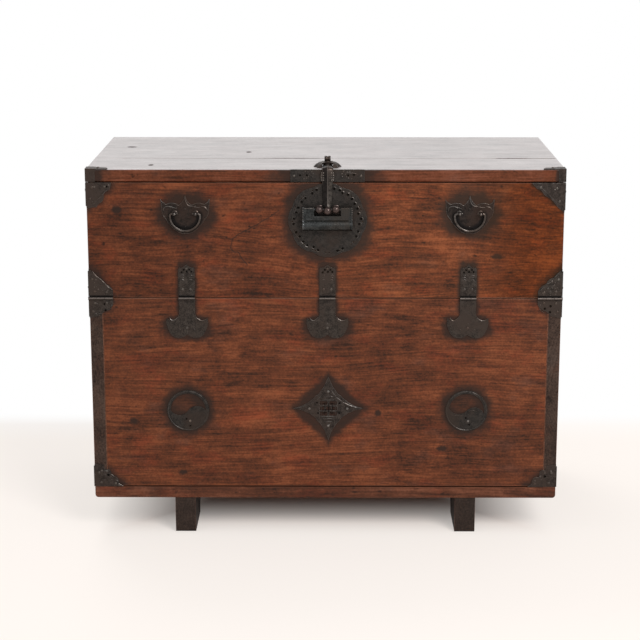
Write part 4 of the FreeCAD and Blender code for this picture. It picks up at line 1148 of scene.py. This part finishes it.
def nail_heads(node_name, body):
    dull, bright = [], []
    for low, high in loose_boxes(node_name):
        spot, turn = nail_spot(low, high)
        rubbed = spot.z < rubbed_below and abs(spot.x) < rubbed_within
        head = settled(turned(nail_rings, 10), spot, turn)
        painted(head, bright_nail if rubbed else nail_iron)
        (bright if rubbed else dull).append(head)
    finished(joined(dull + bright), body + "_nail_heads", body, [node_name])


nail_heads("carcass_nails", "carcass")
nail_heads("flap_nails", "flap")
print("made:", handmade[-2:])

# %% [markdown]
# ## Bail handles
# A bail is an iron rod bent to a half ring, with both ends curled inwards through the eyes
# of two posts. Half of it is enough: a small circle is spun along the ring, spun again
# round the curl, and extruded to the tip. A Mirror modifier makes the other half.

# %% Bails
bail_rod = 2.5
bail_reach = 28.8
bail_curl = 4.6
bail_tip = 13.8
left_bail_x, right_bail_x = -267.0, 275.0
bail_y, bail_z = -226.0, 644.0


def spin(centre, angle, steps):
    bpy.ops.mesh.spin(steps=steps, angle=angle, center=centre, axis=(0, 1, 0))


def bail(side, x):
    bpy.ops.object.select_all(action="DESELECT")
    bpy.ops.mesh.primitive_circle_add(vertices=12, radius=bail_rod * mm, rotation=to_right,
                                      location=mm_at(0, 0, -bail_curl - bail_reach))
    piece = settled(bpy.context.object)
    bpy.ops.object.mode_set(mode="EDIT")
    spin(mm_at(0, 0, -bail_curl), math.pi / 2, 14)
    spin(mm_at(bail_reach - bail_curl, 0, -bail_curl), math.pi / 2, 6)
    inwards = (bail_tip - bail_reach + bail_curl) * mm
    extruded((inwards, 0, 0))
    bpy.ops.transform.resize(value=(1, 0.7, 0.7))
    bpy.ops.mesh.edge_face_add()
    bpy.ops.object.mode_set(mode="OBJECT")
    mirror = piece.modifiers.new("Mirror", "MIRROR")
    mirror.merge_threshold = 0.05 * mm
    bpy.ops.object.modifier_apply(modifier=mirror.name)
    bpy.ops.object.mode_set(mode="EDIT")
    bpy.ops.mesh.select_all(action="SELECT")
    bpy.ops.mesh.remove_doubles(threshold=0.01 * mm)
    bpy.ops.mesh.normals_make_consistent(inside=False)
    bpy.ops.object.mode_set(mode="OBJECT")
    painted(settled(piece, mm_at(x, bail_y, bail_z)), bail_iron)
    finished(piece, side + "_bail_rod", side + "_bail", [side + "_bail"])


bail("left", left_bail_x)
bail("right", right_bail_x)
print("made:", handmade[-2:])

# %% [markdown]
# ## Posts and staples
# Balls on stems carry the bails and the padlock's rod. They are turned on the lathe, bored
# crosswise for the rod, and their flat tails are bent over behind the flap, where they show
# when it is open.

# %% Bail posts
sheet_face = -219.5
flap_back = -198.0
tail_length = 13.0
post_tail, staple_tail = 1.9, 2.3
post_spacing = 40.0
bail_play = 0.2


def tail(x, z, thickness):
    """The end of a stem, bent over behind the flap."""
    line = [(x, flap_back - 4, z), (x, flap_back + 0.6, z),
            (x, flap_back + 1.1, z + tail_length * 0.15),
            (x, flap_back + 0.8, z + tail_length * 0.6), (x, flap_back + 0.4, z + tail_length)]
    return wire(line, thickness, (1.0, 1.0, 0.9, 0.55))


post_rings = ([(5.2, 0), (5.2, 0.8), (3.6, 1.7), (2.9, 2.4)] + ball(4.6, 6.5, -0.76, 0.78, 6)
              + [(2.3, 10.2)] + ball(3.9, 13.1, -0.72, 1.0, 7))


def bail_posts(side, x):
    made = []
    for end in (-1, 1):
        place = x + end * post_spacing / 2
        post = settled(turned(post_rings, 18), mm_at(place, sheet_face, bail_z), to_front)
        drilled(post, mm_at(place, bail_y, bail_z), to_right, bail_rod + bail_play, 16.0, 12)
        made += [painted(post, bail_iron), painted(tail(place, bail_z, post_tail), bail_iron)]
    finished(joined(made), side + "_bail_ball_posts", "flap", [side + "_bail_posts"])


bail_posts("left", left_bail_x)
bail_posts("right", right_bail_x)
print("made:", handmade[-2:])

# %% Staples
rod_y, rod_z = -231.0, 653.0
lock_x = 4.0
staple_offset = 15.8
staple_ball = 7.8
rod_bore, bore_length = 2.4, 20.0
staple_rings = ([(7.0, 0), (7.0, 0.8), (5.6, 1.6), (4.2, 2.4), (3.8, 4.4)]
                + ball(staple_ball, sheet_face - rod_y, -0.84, 1.0, 9))


def staples():
    made = []
    for end in (-1, 1):
        x = lock_x + end * staple_offset
        staple = settled(turned(staple_rings, 24), mm_at(x, sheet_face, rod_z), to_front)
        drilled(staple, mm_at(x, rod_y, rod_z), to_right, rod_bore, bore_length, 14)
        made += [painted(staple, ball_iron), painted(tail(x, rod_z, staple_tail), worn_iron)]
    finished(joined(made), "ball_staples", "flap", ["lock_staples"])


staples()
print("made:", handmade[-1])

# %% [markdown]
# ## The hasp
# The hasp hangs from the lid's eye and comes down in front to the padlock's rod. Its bar
# has a ridge along the middle; the side left of it is painted darker as shade, and the ridge
# gets a painted highlight. A small plate gets a middle point on its front edge, which makes
# the section. It is extruded up the front, widened at the shoulder, spun over the lid's edge
# and drawn out to the end. A turned ball closes the foot.

# %% Hasp
hasp_back = -221.7
bar_edge, bar_ridge = 2.4, 5.0
bend_radius = 3.0
bend_y, bend_z = hasp_back + bend_radius, 726.2
hasp_ball_z = 650.4
# Height, width and how far the bar stands forward of its back plane.
bar_stations = [(655.0, 9.0, 5.0), (658.5, 13.0, 2.2), (663.0, 18.0, 0.0), (698.0, 18.4, 0.0),
                (704.0, 20.5, 0.0), (709.0, 25.0, 0.0), (714.0, 28.0, 0.0), (720.0, 27.0, 0.0),
                (bend_z, 21.0, 0.0)]
# Past the bend: how far each next section lies behind the last, and its share of its width.
bar_end = [(8.7, 0.86), (14.5, 0.8), (1.5, 0.5)]


def bar():
    bpy.ops.object.select_all(action="DESELECT")
    (low, width, forward), *others = bar_stations
    bpy.ops.mesh.primitive_plane_add(size=mm)
    piece = bpy.context.object
    piece.scale = (width, bar_edge, 1)
    piece.location = mm_at(0, -bar_edge / 2, 0)
    settled(piece)
    bpy.ops.object.mode_set(mode="EDIT")
    bpy.ops.mesh.select_mode(type="EDGE")
    bpy.ops.mesh.select_all(action="DESELECT")
    bpy.ops.object.mode_set(mode="OBJECT")
    for edge in piece.data.edges:
        edge.select = all(piece.data.vertices[v].co.y < -bar_edge * mm / 2 for v in edge.vertices)
    bpy.ops.object.mode_set(mode="EDIT")
    bpy.ops.mesh.subdivide(number_cuts=1)
    bpy.ops.mesh.select_mode(type="VERT")
    bpy.ops.mesh.select_all(action="DESELECT")
    bpy.ops.object.mode_set(mode="OBJECT")
    for point in piece.data.vertices:
        point.select = abs(point.co.x) < 0.1 * mm
    bpy.ops.object.mode_set(mode="EDIT")
    bpy.ops.transform.translate(value=mm_at(0, bar_edge - bar_ridge, 0))
    bpy.ops.mesh.select_all(action="SELECT")
    bpy.ops.transform.translate(value=mm_at(lock_x, hasp_back - forward, low))
    for next_low, next_width, next_forward in others:
        extruded(mm_at(0, forward - next_forward, next_low - low))
        bpy.ops.transform.resize(value=(next_width / width, 1, 1))
        low, width, forward = next_low, next_width, next_forward
    bpy.ops.mesh.spin(steps=5, angle=math.pi / 2, center=mm_at(lock_x, bend_y, bend_z), axis=(1, 0, 0))
    for run, share in bar_end:
        extruded(mm_at(0, run, 0))
        bpy.ops.transform.resize(value=(share, 1, 1))
    bpy.ops.mesh.select_all(action="SELECT")
    bpy.ops.mesh.remove_doubles(threshold=0.01 * mm)
    bpy.ops.mesh.normals_make_consistent(inside=False)
    bpy.ops.object.mode_set(mode="OBJECT")
    return piece


hasp_bar = painted(bar(), hasp_iron)
edge_bevel = hasp_bar.modifiers.new("Rubbed edges", "BEVEL")
edge_bevel.width = 0.5 * mm
edge_bevel.segments = 2
edge_bevel.angle_limit = math.radians(30)
edge_bevel.limit_method = "ANGLE"
pick(hasp_bar)
bpy.ops.object.modifier_apply(modifier=edge_bevel.name)
print("bar of", len(bar_stations) + len(bar_end), "sections")

# %% Foot and shoulder of the hasp
hasp_ball = settled(turned(ball(7.9, 0.0, -1.0, 1.0, 14), 24), mm_at(lock_x, rod_y - 0.4, hasp_ball_z))
drilled(painted(hasp_ball, ball_iron), mm_at(lock_x, rod_y, rod_z), to_right, rod_bore, bore_length, 14)
shoulder_dots = [(dx, z) for z in (708.5, 713.0, 717.5, 722.0) for dx in (-11.0, -7.6, 7.6, 11.0)]
dot_lift, ridge_lift, half_shoulder = 0.3, 2.6, 13.5
dot = painted(turned([(1.3, -0.6), (1.1, 0.5), (0.4, 0.9)], 8), rubbed_iron)
dots = spread(dot, [mm_at(lock_x + dx, hasp_back - bar_edge - dot_lift
                          - ridge_lift * max(0, 1 - abs(dx) / half_shoulder), z)
                    for dx, z in shoulder_dots])
finished(joined([dots, hasp_ball, hasp_bar]), "hasp_bar_and_ball", "hasp", ["hasp"])
print("made:", handmade[-1])

# %% [markdown]
# ## Rosette and eye
# The hasp's eye stands on a domed flower of sheet iron. It is turned on the lathe, then the
# points between the petals are drawn in towards the middle and the petals' tips bent down.
# The dome gets its thickness from Solidify, and a slot in front lets the hasp's end in.

# %% Rosette
rosette_y, lid_top = -182.0, 728.0
petals = 8
across_petal = 6
petal_rings = [(27.0, 0.5), (25.5, 2.0), (22.5, 5.0), (17.5, 8.0), (10.5, 9.6), (5.0, 10.0)]
# The share of its radius that each point of a petal keeps, and its lift, from tip to notch.
petal_shape = {0: (1.0, 0.0), 1: (0.955, 0.3), 2: (0.87, 0.8), 3: (0.80, 1.2)}
petal_start, petal_length = 17, 10
flower_sheet = 1.3
slot_size = (21.0, 24.0, 20.0)
stem_bore = 4.1


def rosette():
    shell = turned(petal_rings, petals * across_petal)
    turn_by = 2 * math.pi / (petals * across_petal)
    for point in shell.data.vertices:
        flat = math.hypot(point.co.x, point.co.y)
        if flat < petal_start * mm:
            continue
        step_of = round(math.atan2(point.co.y, point.co.x) / turn_by) % across_petal
        share, lift = petal_shape[min(step_of, across_petal - step_of)]
        part = (flat - petal_start * mm) / (petal_length * mm)
        keep = 1 - (1 - share) * part
        point.co = Vector((point.co.x * keep, point.co.y * keep, point.co.z + lift * part * mm))
    pick(shell)
    bpy.ops.object.mode_set(mode="EDIT")
    bpy.ops.mesh.select_mode(type="FACE")
    bpy.ops.mesh.select_all(action="DESELECT")
    bpy.ops.object.mode_set(mode="OBJECT")
    for face in shell.data.polygons:
        face.select = face.normal.z < -0.9
    bpy.ops.object.mode_set(mode="EDIT")
    bpy.ops.mesh.delete(type="FACE")
    bpy.ops.mesh.select_mode(type="VERT")
    bpy.ops.object.mode_set(mode="OBJECT")
    wall = shell.modifiers.new("Sheet", "SOLIDIFY")
    wall.thickness = flower_sheet * mm
    wall.offset = -1
    bpy.ops.object.modifier_apply(modifier=wall.name)
    settled(shell, mm_at(lock_x, rosette_y, lid_top))
    bpy.ops.object.select_all(action="DESELECT")
    bpy.ops.mesh.primitive_cube_add(size=mm, location=mm_at(lock_x, rosette_y - 22.5, lid_top + 3))
    slot_box = bpy.context.object
    slot_box.scale = slot_size
    cut_with(shell, settled(slot_box))
    drilled(shell, mm_at(lock_x, rosette_y, lid_top + 8), upright, stem_bore, 12.0, 16)
    return painted(shell, sheet_iron)


flower = rosette()
seed_ring, seed_z = 12.5, lid_top + 9.0
seed_dots = [mm_at(lock_x + seed_ring * math.cos(a), rosette_y + seed_ring * math.sin(a), seed_z)
             for a in [2 * math.pi * k / petals for k in range(petals)] if math.sin(a) > -0.9]
dot = painted(turned([(1.6, -0.8), (1.3, 0.5), (0.5, 0.9)], 8), rubbed_iron)
finished(joined([spread(dot, seed_dots, upright), flower]), "petal_rosette", "carcass",
         ["rosette"])
print("made:", handmade[-1])

# %% Eye bolt
eye_z = 743.6
eye_hole = 2.4
eye_rings = [(3.4, -6.0), (4.8, -5.5), (5.2, -4.0), (5.1, -2.4), (4.4, -0.7), (4.2, 0.0), (4.4, 0.7),
             (5.1, 2.4), (5.2, 4.0), (4.8, 5.5), (3.4, 6.0)]
stem_rings = [(3.9, 704.4), (3.9, 728.2), (8.8, 728.3), (8.6, 735.2), (3.9, 735.6), (3.9, 738.0),
              (7.4, 738.1), (7.2, 738.9), (4.6, 740.2), (3.6, 741.0)]
stem_foot, foot_rod = 703.0, 1.1


def eye_bolt():
    eye = settled(turned(eye_rings, 20), mm_at(lock_x, rosette_y, eye_z), to_right)
    drilled(eye, mm_at(lock_x, rosette_y, eye_z), to_right, eye_hole, bore_length, 12)
    stem = settled(turned(stem_rings, 18), mm_at(lock_x, rosette_y, 0))
    low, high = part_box("lid_eye_bolt")
    away = 1 if high.y / mm - rosette_y > rosette_y - low.y / mm else -1
    bent = [(lock_x, rosette_y + away * out, z) for out, z in
            ((0, 708), (0, stem_foot + 0.2), (2, stem_foot - 0.1), (8, stem_foot), (13, stem_foot + 0.2))]
    foot = wire(bent, foot_rod, (1.0, 1.0, 0.9, 0.6))
    made = [painted(piece, worn_iron) for piece in (eye, stem, foot)]
    finished(joined(made), "lid_eye", "carcass", ["lid_eye_bolt"])


eye_bolt()
print("made:", handmade[-1])

# %% [markdown]
# ## Chasing
# The smith raised lines along the edges of the mounts and punched dots and small holes into
# them. A raised line is a thin wire half sunk in the sheet, thin at both ends. A stud is a
# low dome. A punched hole is a turned ring with a black floor, which is painted shade.
# Places are in mm from a mount's own origin, across and up. Lines that hands rub are
# brighter than the rest, and a few lines that face the front lamp are painted bright as a
# highlight.

# %% Chasing tools
line_rise = 0.25
line_swell = (0.45, 1.0, 1.0, 0.45)
print("raised lines sink", line_rise, "mm into the sheet")


def on_sheet(origin, places):
    """Places on the face of a mount."""
    return [mm_at(origin[0] + x, sheet_face, origin[1] + z) for x, z in places]


def raised(origin, lines, material, thickness=0.85):
    made = []
    for line in lines:
        points = [(origin[0] + x, sheet_face - line_rise, origin[1] + z) for x, z in line]
        made.append(painted(wire(points, thickness, line_swell), material))
    return made


def studs(origin, places, radius, material, rise=0.8):
    dot = turned([(radius, -0.5), (radius * 0.86, rise * 0.6), (radius * 0.35, rise)], 8)
    return [spread(painted(dot, material), on_sheet(origin, places))]


def punched(origin, places, radius, material):
    spots = on_sheet(origin, places)
    burr = turned([(radius, -0.3), (radius * 0.97, 0.5), (radius * 0.86, 0.8), (radius * 0.76, 0.3)],
                  10)
    # The black floor of a hole is painted shade.
    hole_shade = turned([(radius * 0.75, -0.2), (radius * 0.75, 0.36)], 10)
    return [spread(painted(burr, material), spots), spread(painted(hole_shade, soot_and_shade), spots)]


def chased(pieces, name, body):
    finished(joined(pieces), name, body)


# %% Corner hinges
seam_z = 478.0
corner_x = 450.0
peen_margin, peen_limit = 4, 0.86
random.seed(7)


def peened(origin, side, count, wide, tall):
    """Small hammered dots at random inside a corner's triangle."""
    places = []
    while len(places) < count:
        x = random.uniform(peen_margin, wide - peen_margin)
        z = random.uniform(peen_margin, tall - peen_margin)
        if x / wide + z / tall < peen_limit:
            places.append((side * x, z))
    return studs(origin, places, 1.0, dim_iron, 0.6)


left_upper = (-corner_x, seam_z)
right_upper = (corner_x, seam_z)
scallops = [(2.7, 53), (7, 46), (12.5, 40.5), (17, 38), (21.5, 32.5), (26, 29), (31, 22.5), (36, 19),
            (40, 16)]
chased(raised(left_upper, [scallops[:4], scallops[3:6], scallops[5:]], worn_line, 0.9)
       + studs(left_upper, [(9, 36), (31, 15), (13, 17)], 1.9, worn_line)
       + peened(left_upper, 1, 16, 46, 46), "left_hinge_upper_chasing", "flap")
chased(raised(right_upper, [[(-40, 14), (-36, 16), (-32, 20), (-28, 23)],
                            [(-24, 29), (-20, 30), (-16, 32)],
                            [(-12, 39), (-7, 44), (-3, 50)]], worn_line, 0.9)
       + studs(right_upper, [(-14.5, 34), (-31, 11)], 2.0, rubbed_iron)
       + studs(right_upper, [(-10, 26), (-22, 20), (-8, 14)], 1.6, worn_line)
       + peened(right_upper, -1, 26, 46, 50), "right_hinge_upper_chasing", "flap")
chased(studs(left_upper, [(9.5, -11), (38, -14.5)], 1.9, worn_line)
       + studs(left_upper, [(7.3, -31)], 1.6, worn_line)
       + punched(left_upper, [(24, -12), (26, -24)], 2.4, dim_iron)
       + raised(left_upper, [[(28, -24), (33, -24), (38, -20)], [(12, -30), (16, -32), (20, -31)]], dim_iron),
       "left_hinge_lower_chasing", "carcass")
chased(studs(right_upper, [(-36, -13.5), (-7, -31)], 1.7, worn_line)
       + punched(right_upper, [(-27, -20), (-16, -15), (-17, -27)], 2.5, dim_iron)
       + raised(right_upper, [[(-38, -20), (-33, -25), (-28, -28)]], dim_iron),
       "right_hinge_lower_chasing", "carcass")
print("made:", handmade[-4:])

# %% Flap and bottom corner mounts
flap_top = 704.0
left_top, right_top = (-corner_x, flap_top), (corner_x, flap_top)
chased(studs(left_top, [(11, -9.6)], 2.2, rubbed_iron)
       + punched(left_top, [(34, -9)], 2.6, dim_iron)
       + raised(left_top, [[(26, -25), (29, -22), (32, -18)], [(16, -34), (20, -32), (23, -28)],
                           [(7, -44), (11, -41), (14, -37)], [(38, -5), (41, -8), (39, -12)]], worn_line)
       + studs(left_top, [(7, -38)], 1.5, dim_iron), "left_flap_corner_chasing", "flap")
chased(raised(right_top, [[(-48, -4), (-38, -12), (-26, -24), (-14, -37)]], dim_iron, 0.7)
       + studs(right_top, [(-14, -14)], 1.6, rubbed_iron), "right_flap_corner_chasing", "flap")
foot_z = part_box("left_bottom_corner_mount")[0].z / mm
left_foot, right_foot = (-corner_x, foot_z), (corner_x, foot_z)
chased(studs(left_foot, [(9.4, 33)], 2.4, rubbed_iron)
       + raised(left_foot, [[(14, 32), (18, 33), (22, 31)], [(27, 25), (31, 24), (34, 19)],
                            [(36, 14), (40, 13), (42, 8)], [(42, 6), (46, 3), (51, 1.2)]], worn_line, 1.1)
       + punched(left_foot, [(22, 24)], 3.2, dim_iron) + punched(left_foot, [(37, 7)], 2.8, worn_line)
       + studs(left_foot, [(14, 14), (28, 14), (16, 24)], 1.3, dim_iron),
       "left_bottom_corner_chasing", "carcass")
chased(studs(right_foot, [(-5, 33), (-17, 29), (-26, 22), (-36, 13)], 2.3, worn_line)
       + punched(right_foot, [(-17, 22)], 3.4, dim_iron)
       + studs(right_foot, [(-38, 9), (-11, 9), (-24, 15)], 1.6, dim_iron),
       "right_bottom_corner_chasing", "carcass")
print("made:", handmade[-4:])

# %% Bail plates
for side, x in (("left", left_bail_x), ("right", right_bail_x)):
    post_level = (x, bail_z)
    chased(raised(post_level, [[(-41, 4), (-41.5, 8), (-38.6, 12.5), (-30, 13.5), (-23, 10.5), (-16, 9.5)],
                               [(-42, -4), (-40, -9), (-36, -12)], [(20, 15), (17, 12), (22, 11), (29, 11)]],
                  worn_line, 1.0)
           + raised(post_level, [[(-0.5, 31), (0.4, 24), (3.8, 16.5), (9.4, 12.8), (16, 13)],
                                 [(42, 19), (44.5, 23), (46, 28)]], worn_line, 1.0)
           # The right horn's line is painted bright as a highlight.
           + raised(post_level, [[(31, 13), (36, 12.8), (40.2, 10), (42.5, 5.6)]], rubbed_iron, 0.9)
           + studs(post_level, [(0, -26), (0, 8)], 1.3, dim_iron), side + "_bail_plate_chasing", "flap")
print("made:", handmade[-2:])

# %% Straps
strap_places = {"left": -267.0, "middle": 4.0, "right": 275.0}
tip_dots = [(-9, 51), (-5, 56), (1, 52), (6, 56), (9.5, 52), (0, 60)]
dash_heights, dash_places = (46, 41.5, 37), (-8.0, 8.0)
for side, x in strap_places.items():
    seam = (x, seam_z)
    rows = [[(dx - 3, z - 1.2), (dx, z + 1.2), (dx + 3, z - 1.2)]
            for z in dash_heights for dx in dash_places]
    chased(punched(seam, tip_dots, 2.3, worn_line) + raised(seam, rows, worn_line, 0.6)
           + raised(seam, [[(-11.5, 30), (-11.8, 15), (-11.5, 4)], [(11.5, 30), (11.8, 15), (11.5, 4)]],
                    dim_iron, 0.5), side + "_strap_tip_chasing", "flap")
    # The bell's horn lines are painted bright as a highlight.
    chased(raised(seam, [[(-34, -38.5), (-32, -42.5), (-28, -44.5), (-23, -43), (-18, -38)],
                         [(18, -38), (23, -43), (30, -45), (36, -42)]], rubbed_iron, 0.7)
           + studs(seam, [(0, -50), (-14, -62), (14, -62)], 1.2, dim_iron)
           + raised(seam, [[(0, -64), (0.3, -70)]], dim_iron), side + "_strap_bell_chasing", "carcass")
print("made:", handmade[-6:])

# %% Taegeuk mounts
disc_radius = 39.3
left_curve = [(-35, 10), (-30, -7), (-16.6, -12.4), (-3.6, -8.3), (5, 4)]
right_curve = [(-34, -4), (-28, -8), (-15, -11), (-4, -8), (3, -1), (12.7, 2), (24, -2), (33, -11)]
for side, centre, curve, nail in (("left", (-268.0, 252.5), left_curve, (2.6, -21.9)),
                                  ("right", (276.0, 252.5), right_curve, (4.9, -19.0))):
    ring = [(disc_radius * math.cos(math.radians(a)), disc_radius * math.sin(math.radians(a)))
            for a in range(0, 361, 15)]
    beside_nail = [(nail[0] - 6, nail[1] + 5), (nail[0] + 1, nail[1] - 9)]
    inside = raised(centre, [curve[1:-1]], sheet_iron, 0.7)
    chased(raised(centre, [ring], dim_iron, 0.6) + inside
           + punched(centre, beside_nail, 2.2, dim_iron), side + "_taegeuk_chasing", "carcass")
print("made:", handmade[-2:])

# %% Diamond
diamond = (6.0, 257.0)
chased(raised(diamond, [[(6, 38), (10, 30), (14, 25)], [(16, 23), (21, 18.5), (27, 14.5)],
                        [(29, 13), (37, 8.5), (47, 4.5), (58, 1.2)]], worn_line, 0.8)
       + raised(diamond, [[(-6, 38), (-10, 30), (-15, 24), (-24, 16), (-37, 8), (-58, 1.2)],
                          [(-17, -15), (-6, -16.5), (6, -16.5), (17, -15)],
                          [(-14, -21), (-5, -20), (6, -21), (13, -20)], [(-8, -27), (0, -26), (8, -27)],
                          [(-12, 17), (0, 18.5), (12, 17)], [(-8, 24), (0, 26), (8, 24)]], dim_iron, 0.8)
       + raised(diamond, [[(-11, z), (-2, z + 1)] for z in (-9, -3, 4, 10)]
                + [[(2, z + 1), (11, z)] for z in (-9, -2, 3, 10)]
                + [[(x, -12), (x + 1, 0), (x, 12)] for x in (-7, 0, 7)], soot_and_shade, 0.9)
       + raised(diamond, [[(x, -13), (x, 13)] for x in (-14, 14)], dim_iron, 0.8)
       + punched(diamond, [(-22, 12), (22, 11), (-20, -9), (21, -9)], 2.0, dim_iron),
       "diamond_chasing", "carcass")
print("made:", handmade[-1])

# %% Lock plate
lock_z = 630.5
plate_wide, plate_tall = 65.0, 61.5
pair_angles = [18, 38, 58, 74, 113, 138, 160, 182, 207, 228, 249, 292, 334, 358]
holes, highlit_arcs, plain_arcs = [], [], []
pair_twist = 4.8
arc_lift, arc_bend = 3.6, 0.5
for pair_angle in pair_angles:
    for twist in (-pair_twist, pair_twist):
        angle = math.radians(pair_angle + twist)
        outwards, along = (math.cos(angle), math.sin(angle)), (-math.sin(angle), math.cos(angle))
        reach = random.uniform(0.93, 1.01)
        hole = (plate_wide * outwards[0] * reach, plate_tall * outwards[1] * reach)
        holes.append(hole)
        arc = [tuple(hole[i] + arc_lift * outwards[i] + t * along[i] - abs(t) * arc_bend * outwards[i]
                     for i in range(2)) for t in (-3.0, -1.0, 1.0, 3.0)]
        # Arcs at the upper right, towards the front lamp, get the bright iron as a painted highlight.
        (highlit_arcs if outwards[0] > 0.2 and outwards[1] > -0.35 else plain_arcs).append(arc)
lock_middle = (lock_x, lock_z)
chased(punched(lock_middle, holes, 3.0, worn_line) + raised(lock_middle, highlit_arcs, rubbed_iron, 0.8)
       + raised(lock_middle, plain_arcs, worn_line, 0.7), "lock_plate_chasing", "flap")
print("made:", handmade[-1], "with", len(holes), "holes")

# %% Lid edge plate
lid_edge = (lock_x, 716.0)
leaf = [(-46, 5), (-42, 8), (-37, 7), (-34, 3), (-36, -2), (-40, -5), (-45, -6), (-30, 8), (-27, 4),
        (-28, -2)]
mirrored = [(-x, z) for x, z in leaf]
chased(studs(lid_edge, leaf, 1.3, dim_iron) + studs(lid_edge, mirrored, 1.3, worn_line)
       + punched(lid_edge, [(-39, 1), (-52, 1), (39, 1), (50, 2)], 2.2, dim_iron)
       + raised(lid_edge, [[(38, 6.5), (44, 5), (50, 5.5), (57, 3)]], worn_line, 0.7),
       "lid_edge_chasing", "carcass")
print("made:", handmade[-1])

# %% [markdown]
# ## Beads of the padlock
# Both end caps have beaded rims that shine, and a row of beads runs along the top edge of
# each ear, brighter on the left. A thin black wire along the seam between the ears' plate
# and the tube is a painted shadow. The right cap belongs to the bolt and slides out with
# it, so its beads ride on the bolt.

# %% Padlock beads
tube_z, tube_radius = 622.5, 10.3
ear_face = rod_y - 5.8
lowest_bead, bead_step = 635.5, 4.2
beads_each_way = 6
first_turn, turn_step = 210, 24


def rim_places(x):
    """Beads up the front of a cap's plate, and round its tube."""
    front_beads = [mm_at(x, ear_face, lowest_bead + bead_step * k) for k in range(beads_each_way)]
    round_beads = []
    for k in range(beads_each_way):
        angle = math.radians(first_turn - turn_step * k)
        round_beads.append(mm_at(x, rod_y + tube_radius * math.cos(angle),
                                 tube_z - tube_radius * math.sin(angle)))
    return front_beads, round_beads


def beaded(x, name, body):
    front_beads, round_beads = rim_places(x)
    bead = turned([(1.0, -0.6), (0.9, 0.1), (0.4, 0.5)], 8)
    made = [spread(painted(copied(bead), rubbed_iron), front_beads)]
    for place in round_beads:
        facing = (place - mm_at(x, rod_y, tube_z)).to_track_quat("Z", "X").to_euler()
        made.append(painted(settled(copied(bead), place, facing), rubbed_iron))
    bpy.data.objects.remove(bead)
    finished(joined(made), name, body)


beaded(-42.6, "padlock_left_beads", "padlock")
beaded(50.6, "padlock_right_beads", "bolt")
row_y, row_z = rod_y - 5.0, 656.2
row = [mm_at(x, row_y, row_z) for x in (-38.5, -35.4, -32.3, -29.2, -26.1, -23.4)]
bead = painted(turned([(1.0, -0.5), (0.9, 0.3), (0.4, 0.6)], 8), rubbed_iron)
dim_row = [mm_at(x, row_y, row_z) for x in (31.5, 34.6, 37.7, 40.8, 43.9)]
dim_bead = painted(turned([(0.9, -0.5), (0.8, 0.3), (0.4, 0.5)], 8), worn_line)
groove_y, groove_z = rod_y - 5.1, 632.4
# A black wire along the seam under the ears: a painted shadow.
seam_shadow = painted(wire([(-36, groove_y, groove_z), (44, groove_y, groove_z)], 0.7, (1.0,), 2), soot_and_shade)
finished(joined([spread(bead, row), spread(dim_bead, dim_row), seam_shadow]), "padlock_ear_trim", "padlock")
print("made:", handmade[-3:])
print(len(handmade), "pieces by hand")
